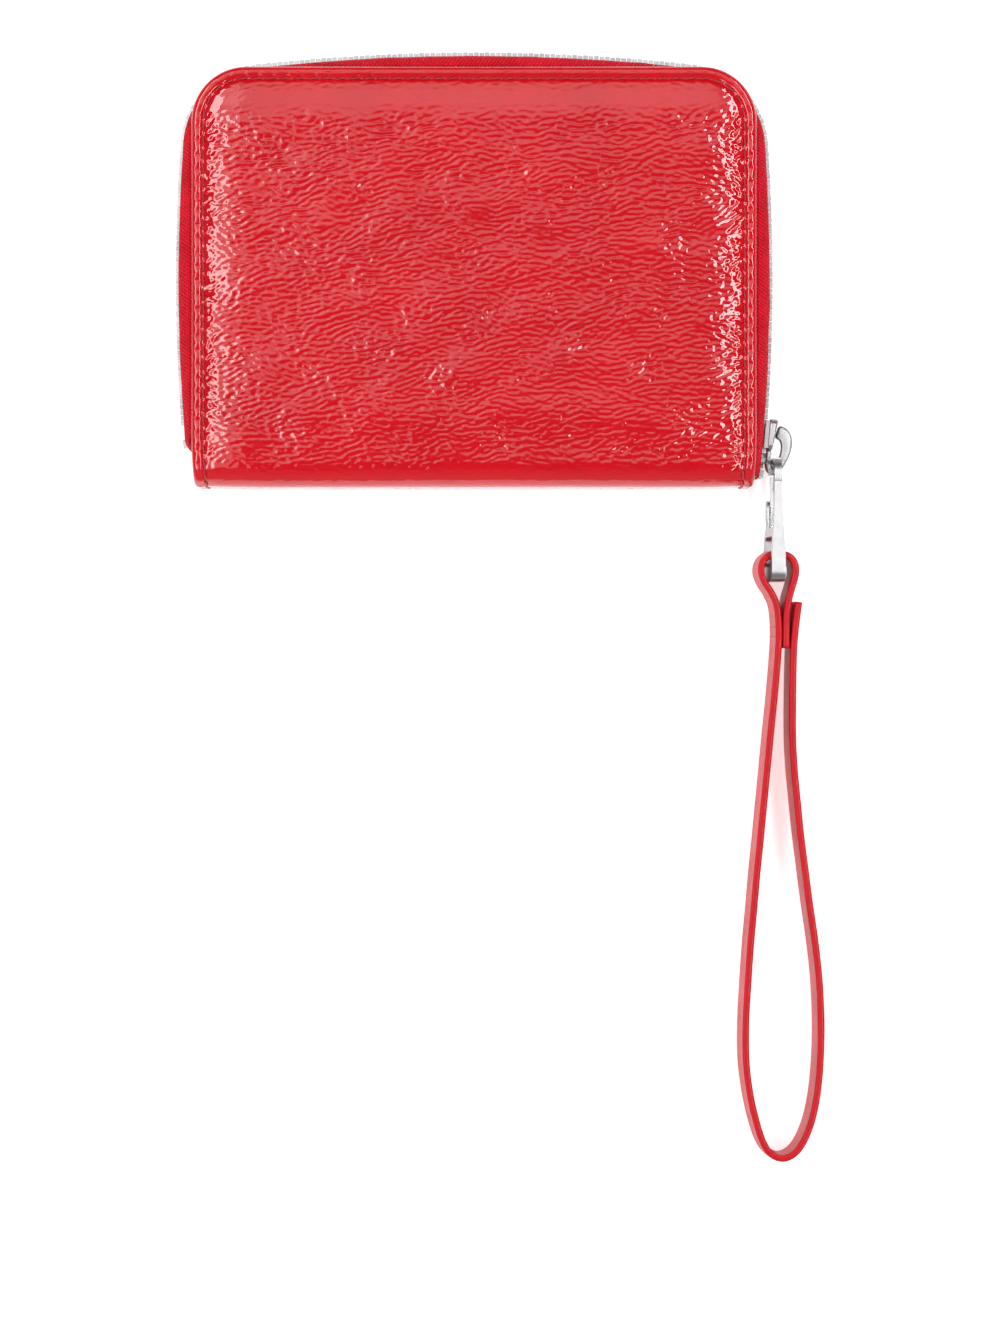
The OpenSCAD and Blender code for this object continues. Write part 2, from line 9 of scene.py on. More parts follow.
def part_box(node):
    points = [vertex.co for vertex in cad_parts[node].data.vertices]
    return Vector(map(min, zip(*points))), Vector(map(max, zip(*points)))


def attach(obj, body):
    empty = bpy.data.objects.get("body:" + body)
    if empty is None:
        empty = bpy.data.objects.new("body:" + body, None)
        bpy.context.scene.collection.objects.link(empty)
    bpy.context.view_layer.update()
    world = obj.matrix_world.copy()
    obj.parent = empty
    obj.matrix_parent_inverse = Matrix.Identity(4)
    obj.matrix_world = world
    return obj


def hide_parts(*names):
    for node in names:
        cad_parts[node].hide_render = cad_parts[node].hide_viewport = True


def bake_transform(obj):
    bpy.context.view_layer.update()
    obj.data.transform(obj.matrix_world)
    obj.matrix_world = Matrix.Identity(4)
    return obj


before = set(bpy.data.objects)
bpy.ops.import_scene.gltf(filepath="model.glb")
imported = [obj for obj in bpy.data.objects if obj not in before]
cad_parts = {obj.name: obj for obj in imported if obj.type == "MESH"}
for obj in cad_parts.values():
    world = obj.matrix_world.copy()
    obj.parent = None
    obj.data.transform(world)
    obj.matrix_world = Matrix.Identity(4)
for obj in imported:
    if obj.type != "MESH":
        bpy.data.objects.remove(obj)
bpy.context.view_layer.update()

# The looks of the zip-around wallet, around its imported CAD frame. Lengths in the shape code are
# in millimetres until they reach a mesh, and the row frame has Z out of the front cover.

MM = 0.001

# Sizes shared with the CAD part
COVER_W, COVER_H, WALLET_T, CORNER_R = 113.2, 84.2, 20.0, 11.0
ROLL_R = 5.0
LEATHER_T, HEM_T, HEM_REACH = 1.2, 0.6, 5.0
SPINE_W = 112.4
STITCH_INSET, STITCH_PITCH = 2.4, 2.8
TOP_Y = COVER_H / 2
MID_Z = WALLET_T / 2
BOW_R = 400.0
CHAIN_X, CHAIN_Y, CHAIN_CORNER_R = 59.1, 44.8, 16.0
SLIDER_DROP = 33.0
PLATE_GAP = 1.4
LEAN = math.radians(4)

# The strap's middle line, seen from above
STRAP = [
    (65.1, -65.0), (64.6, -69.0), (64.2, -73.0), (64.0, -78.0), (63.9, -85.0), (63.9, -92.0),
    (64.2, -98.0), (64.8, -104.5), (65.5, -111.5), (66.4, -118.5), (67.3, -125.5),
    (68.4, -133.0), (69.3, -141.0), (69.7, -149.0), (69.6, -157.0), (69.0, -164.0),
    (67.9, -169.6), (66.3, -173.8), (64.5, -176.3), (62.2, -177.4), (59.8, -176.6),
    (58.1, -174.3), (56.7, -170.2), (55.4, -164.5), (54.6, -158.0), (54.5, -150.5),
    (54.9, -142.5), (55.4, -135.0), (56.1, -127.0), (56.8, -119.0), (57.6, -111.0),
    (58.5, -101.5), (59.4, -92.0), (60.2, -84.0), (60.8, -77.0), (61.1, -71.0),
    (60.7, -66.0), (59.6, -63.2), (58.2, -61.0), (57.5, -58.9), (57.8, -57.0),
    (59.0, -55.7), (61.0, -55.3), (63.0, -55.7), (64.2, -57.0), (64.5, -58.9),
    (64.0, -61.2), (63.2, -64.0), (62.7, -67.5), (62.6, -71.0), (62.6, -74.3),
]
STRAP_W, STRAP_T = 10.0, 1.4
# Its far end rests on the floor, and it has risen by STRAP_LIFT at the clasp's bar
STRAP_FAR, STRAP_NEAR, STRAP_REST, STRAP_LIFT = -177.4, -55.0, 0.2, 2.65


# ---------------------------------------------------------------- numbers and meshes

def smoothstep(x, low, high):
    t = np.clip((np.asarray(x, float) - low) / (high - low), 0, 1)
    return t * t * (3 - 2 * t)


def band_noise(seed, wave, stretch, turn, width, step, shape):
    """Spectrum of noise with one main wavelength in mm, longer along its own x by stretch:
    (spectrum, cycles along it, cycles across it)"""
    white = np.random.default_rng(seed).standard_normal(shape)
    ky, kx = np.meshgrid(
        np.fft.fftfreq(shape[0], step), np.fft.fftfreq(shape[1], step), indexing="ij"
    )
    along = (math.cos(turn) * kx + math.sin(turn) * ky) * wave * stretch
    across = (math.cos(turn) * ky - math.sin(turn) * kx) * wave
    band = np.exp(-(((np.hypot(along, across) - 1) / width) ** 2))
    return np.fft.fft2(white) * band, along, across


def noise_field(seed, wave, stretch=1.0, turn=0.0, width=0.35, step=0.125, shape=(1024, 1280)):
    """Periodic noise on a grid step mm apart, with a standard deviation of 1."""
    spectrum, _, _ = band_noise(seed, wave, stretch, turn, width, step, shape)
    field = np.fft.ifft2(spectrum).real
    return field / field.std()


def coarse_noise(seed, wave):
    """Noise for a whole panel, to be sampled with COARSE as its step."""
    return noise_field(seed, wave, width=0.6, step=COARSE, shape=(512, 640))


COARSE = 0.25


def sample(field, x, y, step=0.125):
    """The periodic field at x, y in mm, between its grid points."""
    rows, columns = field.shape
    gx, gy = np.asarray(x) / step, np.asarray(y) / step
    ix, iy = np.floor(gx).astype(int), np.floor(gy).astype(int)
    fx, fy = gx - ix, gy - iy
    pick = lambda dy, dx: field[(iy + dy) % rows, (ix + dx) % columns]
    low = pick(0, 0) * (1 - fx) + pick(0, 1) * fx
    high = pick(1, 0) * (1 - fx) + pick(1, 1) * fx
    return low * (1 - fy) + high * fy


def ripple_field(seed, wave, stretch, turn, width=0.5, step=0.125, shape=(1024, 1280)):
    """Complex noise: its angle is the phase of irregular ripples whose crests run along x."""
    spectrum, along, across = band_noise(seed, wave, stretch, turn, width, step, shape)
    field = np.fft.ifft2(spectrum * np.exp(-((along / 0.9) ** 2)) * (across > 0))
    return field / np.sqrt((np.abs(field) ** 2).mean())


class Crinkle:
    """Patent leather's crinkle: wavy creases, mostly along x, of an even depth."""

    def __init__(self, seed, wave=1.1, stretch=1.2):
        turn = noise_field(seed + 20, 16, width=0.6)
        total, weight = 0, 0
        for i, (centre, angle) in enumerate([(-1.1, -0.45), (0.0, 0.0), (1.1, 0.45)]):
            share = np.exp(-(((turn - centre) / 0.6) ** 2))
            total = total + share * ripple_field(seed + i, wave, stretch, angle)
            weight = weight + share ** 2
        total = total / np.sqrt(weight)
        size = np.abs(total)
        ripple = total.real / np.maximum(size, 1e-6) * np.clip(size / 0.5, 0, 1)
        cross = ripple_field(seed + 30, 2.4, 1.8, math.pi / 2 - 0.3).real
        patches = 1 + 0.5 * noise_field(seed + 33, 20, width=0.6)
        self.ridges = smoothstep(cross * patches, 0.8, 1.7)
        self.creases = (1 - smoothstep(ripple, -1.0, 0.4)) * (1 - 0.85 * self.ridges)
        self.amount = noise_field(seed + 5, 14, width=0.6)
        self.swell = noise_field(seed + 6, 12, stretch=1.2, width=0.5)
        self.soft = noise_field(seed + 8, 0.8, stretch=1.3, width=0.5)

    def __call__(self, x, y):
        """(height in mm, how deep in a crease from 0 to 1) at x, y"""
        strong = np.clip(1 + 0.2 * sample(self.amount, x, y), 0.4, 1.4)
        creases = sample(self.creases, x, y) * strong
        fine = 0.026 * sample(self.ridges, x, y) + 0.004 * sample(self.soft, x, y)
        return fine - 0.15 * creases + 0.05 * sample(self.swell, x, y), creases


def face_outward(mesh):
    """Turns each closed shell's faces so that they look out, whatever order they came in."""
    shape = bmesh.new()
    shape.from_mesh(mesh)
    bmesh.ops.recalc_face_normals(shape, faces=shape.faces)
    shape.to_mesh(mesh)
    shape.free()


def make_mesh(name, points, faces, smooth=True, uv=None, attributes=None):
    """A mesh object from points in mm and faces. uv is one pair in mm for each point."""
    mesh = bpy.data.meshes.new(name)
    mesh.from_pydata((np.asarray(points, float) * MM).tolist(), [], [list(f) for f in faces])
    mesh.update()
    mesh.validate()
    if len(mesh.polygons) > 1:
        face_outward(mesh)
    if smooth:
        mesh.polygons.foreach_set("use_smooth", [True] * len(mesh.polygons))
    if uv is not None:
        layer = mesh.uv_layers.new(name="weave")
        corner = np.zeros(len(mesh.loops), np.int32)
        mesh.loops.foreach_get("vertex_index", corner)
        layer.data.foreach_set("uv", np.asarray(uv, np.float32)[corner].ravel())
    for key, values in (attributes or {}).items():
        attribute = mesh.attributes.new(key, "FLOAT", "POINT")
        attribute.data.foreach_set("value", np.asarray(values, np.float32))
    obj = bpy.data.objects.new(name, mesh)
    bpy.context.scene.collection.objects.link(obj)
    return obj


def sharpen(obj, indices):
    """Marks the edges between the given points as creases in the shading."""
    inside = np.zeros(len(obj.data.vertices), bool)
    inside[list(indices)] = True
    ends = np.zeros(2 * len(obj.data.edges), np.int32)
    obj.data.edges.foreach_get("vertices", ends)
    obj.data.edges.foreach_set("use_edge_sharp", inside[ends.reshape(-1, 2)].all(axis=1))


def closed_sheet_faces(rows, columns, flip=False):
    """Faces of two rows by columns grids, the second after the first, joined round their rims."""
    start = rows * columns
    border = [k for k in range(columns)]
    border += [i * columns + columns - 1 for i in range(1, rows)]
    border += [start - 1 - k for k in range(1, columns)]
    border += [i * columns for i in range(rows - 2, 0, -1)]
    rim = [[a, a + start, b + start, b] for a, b in zip(border, border[1:] + border[:1])]
    sheets = [grid_faces(rows, columns, s, flip != (s > 0)) for s in (0, start)]
    return sheets[0] + sheets[1] + rim


def tube_faces(rings, sides, flip=False):
    """Faces of a tube of rings, with a flat cap at each end."""
    caps = [list(range(sides)), list(range((rings - 1) * sides, rings * sides))]
    caps[flip].reverse()
    return grid_faces(rings, sides, flip=flip, close_columns=True) + caps


def grid_faces(rows, columns, start=0, flip=False, close_rows=False, close_columns=False):
    """Quads over a rows by columns grid of points that starts at index start."""
    faces = []
    for i in range(rows if close_rows else rows - 1):
        a, b = start + i * columns, start + (i + 1) % rows * columns
        for k in range(columns if close_columns else columns - 1):
            quad = [a + k, a + (k + 1) % columns, b + (k + 1) % columns, b + k]
            faces.append(quad[::-1] if flip else quad)
    return faces


def run_along(line):
    """The length so far at each point of a line."""
    return np.concatenate([[0], np.cumsum(np.linalg.norm(np.diff(line, axis=0), axis=1))])


def side_of(line):
    """Unit vectors at right angles to a flat line, at each of its points."""
    way = np.gradient(line, axis=0)
    way /= np.linalg.norm(way, axis=1)[:, None]
    return np.column_stack([-way[:, 1], way[:, 0]])


def smooth_line(points, step):
    """The points of a Catmull-Rom spline through points, about step apart."""
    p = np.asarray(points, float)
    p = np.vstack([2 * p[0] - p[1], p, 2 * p[-1] - p[-2]])
    out = []
    for i in range(1, len(p) - 2):
        n = max(1, int(math.ceil(np.linalg.norm(p[i + 1] - p[i]) / step)))
        for t in np.arange(n) / n:
            a, b, c, d = p[i - 1], p[i], p[i + 1], p[i + 2]
            out.append(0.5 * (
                2 * b + (c - a) * t + (2 * a - 5 * b + 4 * c - d) * t * t
                + (3 * b - a - 3 * c + d) * t ** 3
            ))
    return np.array(out + [p[-2]])


def place(obj, body, material, replaced=()):
    """Rides the piece on its body and the CAD nodes it stands for."""
    obj.data.materials.append(material)
    if replaced:
        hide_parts(*replaced)
    if body:
        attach(obj, body)
    return obj


# ---------------------------------------------------------------- materials

class Look:
    """A material or world being made: its nodes by short calls, each returning its output."""

    def __init__(self, owner, **values):
        owner.use_nodes = True
        self.owner = owner
        self.nodes, self.links = owner.node_tree.nodes, owner.node_tree.links
        self.shader = self.nodes.get("Principled BSDF")
        self.spot = self.nodes.new("ShaderNodeTexCoord").outputs
        for key, value in values.items():
            self.shader.inputs[key.replace("_", " ")].default_value = value

    def link(self, socket, value):
        self.links.new(value, self.shader.inputs[socket])

    def noise(self, scale, detail=3.0, roughness=0.5, coordinate=None):
        texture = self.nodes.new("ShaderNodeTexNoise")
        texture.inputs["Scale"].default_value = scale
        texture.inputs["Detail"].default_value = detail
        texture.inputs["Roughness"].default_value = roughness
        self.links.new(coordinate or self.spot["Object"], texture.inputs["Vector"])
        return texture.outputs["Fac"]

    def ramp(self, value, *stops):
        """A colour ramp with stops of (position, colour or grey level)."""
        ramp = self.nodes.new("ShaderNodeValToRGB")
        while len(ramp.color_ramp.elements) < len(stops):
            ramp.color_ramp.elements.new(0.5)
        for element, (position, colour) in zip(ramp.color_ramp.elements, stops):
            element.position = position
            element.color = (*(colour if isinstance(colour, tuple) else [colour] * 3), 1)
        self.links.new(value, ramp.inputs["Fac"])
        return ramp.outputs["Color"]

    def bump(self, height, distance, normal=None):
        bump = self.nodes.new("ShaderNodeBump")
        bump.inputs["Distance"].default_value = distance
        bump.inputs["Strength"].default_value = 1.0
        self.links.new(height, bump.inputs["Height"])
        if normal:
            self.links.new(normal, bump.inputs["Normal"])
        return bump.outputs["Normal"]

    def math(self, operation, a, b=0):
        node = self.nodes.new("ShaderNodeMath")
        node.operation = operation
        for socket, value in zip(node.inputs, (a, b)):
            if isinstance(value, (int, float)):
                socket.default_value = value
            else:
                self.links.new(value, socket)
        return node.outputs[0]

    def weave(self):
        """The two weave coordinates of the piece, in mm."""
        uv = self.nodes.new("ShaderNodeUVMap")
        uv.uv_map = "weave"
        split = self.nodes.new("ShaderNodeSeparateXYZ")
        self.links.new(uv.outputs["UV"], split.inputs[0])
        return split.outputs["X"], split.outputs["Y"]


def new_look(name, **values):
    return Look(bpy.data.materials.new(name), **values)


def leather_material(name, light, dark, coat, coat_roughness, roughness, peel, grain, base_gloss):
    """Dyed leather: slow colour variation, painted shade that darkens its creases, fine grain and a
    clear coat.
    """
    look = new_look(
        name, Coat_Weight=coat, Coat_Roughness=coat_roughness, Coat_IOR=1.6,
        Specular_IOR_Level=base_gloss,
    )
    colour = look.ramp(look.noise(60, 4, 0.6), (0.3, dark), (0.7, light))
    crease = look.nodes.new("ShaderNodeAttribute")
    crease.attribute_name = "crease"
    # Painted shade: the crease depth blends up to 12% of a darker red into the colour in the creases.
    crease_shade = look.nodes.new("ShaderNodeMix")
    crease_shade.data_type = "RGBA"
    crease_shade.blend_type = "MIX"
    look.links.new(look.math("MULTIPLY", crease.outputs["Fac"], 0.12), crease_shade.inputs["Factor"])
    look.links.new(colour, crease_shade.inputs["A"])
    crease_shade.inputs["B"].default_value = (*[0.55 * c for c in dark], 1)
    look.link("Base Color", crease_shade.outputs["Result"])
    fine = look.noise(2600, 3, 0.55)
    look.link("Roughness", look.ramp(fine, (0.3, roughness - 0.06), (0.7, roughness + 0.08)))
    normal = look.bump(look.noise(900, 2, 0.5), peel)
    look.link("Coat Normal", normal)
    look.link("Normal", look.bump(fine, grain, normal))
    return look.owner


def weave_material(name, light, dark, pitch_u, pitch_v, depth, sheen=0.3, roughness=0.85):
    """Twill cloth in the piece's own weave coordinates, with pitches in mm."""
    look = new_look(name, Sheen_Weight=sheen, Sheen_Roughness=0.5, Specular_IOR_Level=0.25)
    look.shader.inputs["Sheen Tint"].default_value = (1, 0.75, 0.75, 1)
    u, v = look.weave()
    across = look.math("MULTIPLY", u, 2 * math.pi / pitch_u)
    along = look.math("MULTIPLY", v, 2 * math.pi / pitch_v)
    rib = look.math("SINE", look.math("ADD", across, along))
    yarn = look.math("SINE", look.math("SUBTRACT", across, look.math("MULTIPLY", along, 2)))
    cloth = look.math("ADD", rib, look.math("MULTIPLY", yarn, 0.6))
    fuzz = look.noise(3000, 4, 0.7)
    cloud = look.noise(220, 3, 0.6)
    height = look.math("ADD", cloth, look.math("MULTIPLY", fuzz, 2.0))
    stain = look.math("ADD", look.math("MULTIPLY", fuzz, 0.5), cloud)
    tone = look.math("ADD", look.math("MULTIPLY", cloth, 0.22), stain)
    look.link("Base Color", look.ramp(tone, (0.45, dark), (1.05, light)))
    look.link("Roughness", look.ramp(fuzz, (0.3, roughness - 0.08), (0.7, roughness + 0.1)))
    look.link("Normal", look.bump(height, depth))
    return look.owner


def metal_material(name, light, dark, roughness, scratch=0.004):
    """Plated metal with a faint tone change, fine polishing marks and small smudges."""
    look = new_look(name, Metallic=1.0)
    stretch = look.nodes.new("ShaderNodeMapping")
    stretch.inputs["Scale"].default_value = (1, 0.12, 1)
    look.links.new(look.spot["Object"], stretch.inputs["Vector"])
    marks = look.noise(4200, 3, 0.6, stretch.outputs[0])
    smudge = look.noise(260, 4, 0.6)
    look.link("Base Color", look.ramp(smudge, (0.35, dark), (0.65, light)))
    look.link("Roughness", look.ramp(smudge, (0.3, roughness), (0.7, roughness + 0.09)))
    look.link("Normal", look.bump(marks, scratch * MM))
    return look.owner


def thread_material(name, light, dark):
    """Twisted thread: its plies show as slanting bands along each stitch."""
    look = new_look(name, Sheen_Weight=0.1, Sheen_Roughness=0.4, Specular_IOR_Level=0.7)
    u, v = look.weave()
    twist = look.math("ADD", look.math("MULTIPLY", u, 14.0), look.math("MULTIPLY", v, 4 * math.pi))
    ply = look.math("SINE", twist)
    fuzz = look.noise(6000, 3, 0.7)
    tone = look.math("ADD", look.math("MULTIPLY", ply, 0.3), fuzz)
    look.link("Base Color", look.ramp(tone, (0.2, dark), (0.8, light)))
    look.link("Roughness", look.ramp(fuzz, (0.3, 0.3), (0.7, 0.5)))
    look.link("Normal", look.bump(look.math("ADD", ply, fuzz), 0.03 * MM))
    return look.owner


def board_material(name):
    look = new_look(name, Specular_IOR_Level=0.3)
    pulp = look.noise(1500, 5, 0.7)
    look.link("Base Color", look.ramp(pulp, (0.3, (0.30, 0.26, 0.21)), (0.7, (0.48, 0.43, 0.36))))
    look.link("Roughness", look.ramp(pulp, (0, 0.8), (1, 0.95)))
    look.link("Normal", look.bump(pulp, 0.05 * MM))
    return look.owner


FLOOR_GLOW, SKY = 0.58, 1.8


def floor_material(name):
    """A white sweep that also glows, so that the object's colour doesn't tint it."""
    look = new_look(name, Specular_IOR_Level=0.1, Emission_Strength=FLOOR_GLOW)
    tone = look.noise(3, 2, 0.5)
    look.link("Base Color", look.ramp(tone, (0.3, 0.88), (0.7, 0.90)))
    look.link("Roughness", look.ramp(tone, (0, 0.7), (1, 0.8)))
    look.shader.inputs["Emission Color"].default_value = (1, 1, 1, 1)
    return look.owner


PATENT = leather_material(
    "patent_leather", (0.68, 0.002, 0.011), (0.59, 0.001, 0.008), base_gloss=0.05,
    coat=1.0, coat_roughness=0.05, roughness=0.42, peel=0.01 * MM, grain=0.01 * MM,
)
STRAP_LEATHER = leather_material(
    "strap_leather", (0.66, 0.003, 0.012), (0.58, 0.002, 0.010), base_gloss=0.15,
    coat=0.2, coat_roughness=0.2, roughness=0.45, peel=0.04 * MM, grain=0.02 * MM,
)
INNER = leather_material(
    "inner_leather", (0.55, 0.008, 0.016), (0.45, 0.005, 0.012), base_gloss=0.3,
    coat=0.15, coat_roughness=0.35, roughness=0.52, peel=0.08 * MM, grain=0.05 * MM,
)
LINING = weave_material("lining", (0.26, 0.008, 0.015), (0.15, 0.003, 0.008), 0.5, 0.5, 0.03 * MM)
TAPE = weave_material(
    "zip_tape", (1.0, 0.010, 0.036), (0.60, 0.000, 0.008), 0.75, 1.1, 0.11 * MM, sheen=0.02,
)
THREAD = thread_material("thread", (0.66, 0.012, 0.022), (0.34, 0.004, 0.010))
ZIP_METAL = metal_material("zip_metal", (0.62, 0.62, 0.63), (0.48, 0.48, 0.50), 0.20)
POLISHED = metal_material("polished_metal", (0.70, 0.70, 0.70), (0.62, 0.62, 0.63), 0.12)
SATIN = metal_material("satin_metal", (0.48, 0.48, 0.48), (0.38, 0.38, 0.39), 0.36)
BOARD = board_material("board")


# ---------------------------------------------------------------- camera, light and floor

def add_camera():
    camera = bpy.data.objects.new("camera", bpy.data.cameras.new("camera"))
    camera.location = (0.0052, -0.0781, 1.02)
    camera.data.sensor_fit = "VERTICAL"
    camera.data.sensor_height = 36
    camera.data.lens = 36 / 0.2668
    bpy.context.scene.collection.objects.link(camera)
    bpy.context.scene.camera = camera


def add_light(name, location, size, power, target=(0, -0.02, 0.01)):
    """A rectangular soft box that faces the target."""
    light = bpy.data.lights.new(name, "AREA")
    light.shape = "RECTANGLE"
    light.size, light.size_y = size
    light.energy = power
    obj = bpy.data.objects.new(name, light)
    obj.location = location
    aim = Vector(target) - Vector(location)
    obj.rotation_euler = aim.to_track_quat("-Z", "X").to_euler()
    bpy.context.scene.collection.objects.link(obj)
    return obj


def add_floor():
    half = 3000
    floor = make_mesh(
        "floor", [(-half, -half, -0.1), (half, -half, -0.1), (half, half, -0.1), (-half, half, -0.1)],
        [(0, 1, 2, 3)], smooth=False,
    )
    floor.data.materials.append(floor_material("floor"))


def add_world(tilt, stops):
    """A sky that is brightest round an axis tipped back from the zenith: stops of (degrees from
    that axis, brightness)."""
    world = bpy.data.worlds.new("world")
    look = Look(world)
    dot = look.nodes.new("ShaderNodeVectorMath")
    dot.operation = "DOT_PRODUCT"
    dot.inputs[1].default_value = (0, math.sin(math.radians(tilt)), math.cos(math.radians(tilt)))
    look.links.new(look.spot["Generated"], dot.inputs[0])
    share = look.math("DIVIDE", look.math("ARCCOSINE", dot.outputs["Value"]), math.pi)
    level = look.ramp(share, *[(angle / 180, brightness / SKY) for angle, brightness in stops])
    look.links.new(level, look.nodes["Background"].inputs["Color"])
    look.nodes["Background"].inputs["Strength"].default_value = SKY
    bpy.context.scene.world = world


add_camera()
add_world(18, [
    (0, 1.6), (9, 1.35), (13, 0.8), (18, 0.15), (25, 0.04), (42, 0.05), (60, 0.25), (84, 0.4),
    (180, 0.4),
])
add_light("left_strip", (-0.48, -0.02, 1.15), (0.20, 1.3), 6.8)
add_light("left_soft", (-0.27, -0.02, 1.15), (0.20, 1.3), 1.0)
add_light("right_strip", (0.46, -0.02, 1.15), (0.14, 1.3), 7.2)
add_light("room", (0, 0, 1.6), (2.0, 2.0), 1.5).visible_glossy = False
add_floor()
bpy.context.scene.view_settings.view_transform = "Standard"


# ---------------------------------------------------------------- wrist strap

def strap_height(y):
    """The height of the strap's middle line: it lies on the floor and rises to the clasp."""
    return STRAP_REST + STRAP_W / 2 + STRAP_LIFT * (y - STRAP_FAR) / (STRAP_NEAR - STRAP_FAR)


def rounded_section(width, thick, radius, steps=3):
    """Points round a rectangle with round corners: (across the face, through the thickness)."""
    out = []
    for cx, cy, first in [(1, 1, 0), (-1, 1, 90), (-1, -1, 180), (1, -1, 270)]:
        for i in range(steps + 1):
            a = math.radians(first + 90 * i / steps)
            out.append((
                cx * (width / 2 - radius) + radius * math.cos(a),
                cy * (thick / 2 - radius) + radius * math.sin(a),
            ))
    return out


def dense_section(width, thick, radius, gap=0.6):
    """The rounded section with extra points on its long faces."""
    corner = rounded_section(width, thick, radius)
    out = []
    for a, b in zip(corner, corner[1:] + corner[:1]):
        n = max(1, round(math.dist(a, b) / gap))
        out += [tuple(np.add(a, np.subtract(b, a) * i / n)) for i in range(n)]
    return out


def build_strap():
    line = smooth_line(STRAP, 0.7)
    side, run = side_of(line), run_along(line)
    section = dense_section(STRAP_W, STRAP_T, 0.35)
    crinkle = Crinkle(70)
    points, uv, crease = [], [], []
    wide = np.array([w for w, t in section])
    deep = np.array([t for w, t in section])
    face = smoothstep(np.abs(deep), 0.6, 0.7) * smoothstep(-np.abs(wide), -4.8, -4.2)
    for i, (x, y) in enumerate(line):
        lift, lines = crinkle(run[i] + 200 * (deep > 0), wide)
        out = deep + np.sign(deep) * face * (0.55 * lift + 0.06 * (1 - (wide / 5) ** 2))
        points += list(np.column_stack([
            x + side[i, 0] * out + math.sin(LEAN) * wide,
            y + side[i, 1] * out,
            strap_height(y) + math.cos(LEAN) * wide,
        ]))
        uv += [(run[i], w) for w in wide]
        crease += list(lines * face)
    faces = tube_faces(len(line), len(section), True)
    strap = make_mesh("strap_band", points, faces, uv=uv, attributes={"crease": crease})
    place(strap, "strap", STRAP_LEATHER, ["wrist_strap"])
    path = np.column_stack([line, strap_height(line[:, 1])]) * MM
    return strap, path


def thread_points(run, radius, lift=0.35):
    """One stitch of a given length along x: a plump thread whose two ends dip into the leather."""
    rings, sides = 7, 8
    points, uv = [], []
    for i in range(rings):
        t = i / (rings - 1)
        x = (t - 0.5) * run
        arch = math.sin(math.pi * t)
        r = radius * (0.45 + 0.55 * arch ** 0.5)
        z = radius * 0.55 * arch - radius * lift
        for k in range(sides):
            a = 2 * math.pi * k / sides
            points.append((x, r * math.cos(a), z + r * math.sin(a)))
            uv.append((x, k / sides))
    return np.array(points), tube_faces(rings, sides, True), uv


def build_stitches(name, places, run=2.2, radius=0.24):
    """Stitches at places of (point, direction along the thread, direction out of the leather)."""
    shape, shape_faces, shape_uv = thread_points(run, radius)
    points, faces, uv = [], [], []
    for point, along, out in places:
        a = np.asarray(along, float) / np.linalg.norm(along)
        o = np.asarray(out, float)
        o = o - a * (o @ a)
        o /= np.linalg.norm(o)
        s = np.cross(o, a)
        start = len(points)
        points += list(np.asarray(point) + shape @ np.array([a, s, o]))
        faces += [[start + v for v in f] for f in shape_faces]
        uv += shape_uv
    return make_mesh(name, points, faces, uv=uv)


def build_strap_stitches():
    """Rows of thread on both outer faces where the strap is sewn closed."""
    places = []
    for row in (-2, 0, 2):
        y = -70 + row
        up = np.array([math.sin(LEAN), 0, math.cos(LEAN)])
        centre = np.array([62.6, y, strap_height(y)])
        for w in (-3, -1, 1, 3):
            for side in (-1, 1):
                places.append((centre + up * w + np.array([side * 2.2, 0, 0]), up, (side, 0, 0)))
    obj = build_stitches("strap_thread", places, run=1.9, radius=0.22)
    return place(obj, "strap", THREAD, ["strap_stitching"])


strap, strap_path = build_strap()
strap_thread = build_strap_stitches()


# ---------------------------------------------------------------- covers and spine

def outline_half_width(v):
    """Half the skin's width at v mm down from its zipped edge: round corners, narrower spine."""
    round_part = np.sqrt(np.clip(CORNER_R ** 2 - (CORNER_R - np.minimum(v, CORNER_R)) ** 2, 0, None))
    half = COVER_W / 2 - CORNER_R + round_part
    return half - (COVER_W - SPINE_W) / 2 * smoothstep(v, 74, 86)


def edge_inset(x, v):
    """The distance in from the skin's outline: its two sides and its zipped edge."""
    ax = np.abs(x)
    cx, cv = COVER_W / 2 - CORNER_R, CORNER_R
    corner = CORNER_R - np.hypot(np.maximum(ax - cx, 0), np.maximum(cv - v, 0))
    side = outline_half_width(np.maximum(v, CORNER_R)) - ax
    plain = np.minimum(side, v)
    return np.where((ax > cx) & (v < cv), corner, plain)


def along_edge(x, v):
    """The distance along the stitch line from the middle of the zipped edge."""
    ax = np.abs(x)
    r = CORNER_R - STITCH_INSET
    cx = COVER_W / 2 - CORNER_R
    turn = np.arctan2(np.maximum(ax - cx, 0), np.maximum(CORNER_R - v, 1e-6))
    on_corner = cx + r * turn
    on_side = cx + r * math.pi / 2 + v - CORNER_R
    return np.where(v >= CORNER_R, on_side, np.where(ax < cx, ax, on_corner))


FLAT_END = COVER_H - ROLL_R
ROLL_END = FLAT_END + ROLL_R * math.pi / 2
SKIN_END = ROLL_END + MID_Z - ROLL_R
GROOVE = -0.45
RIM_DEPTH = -1.35
STITCH_LEVEL, STITCH_SLANT = GROOVE + 0.16, 0.12


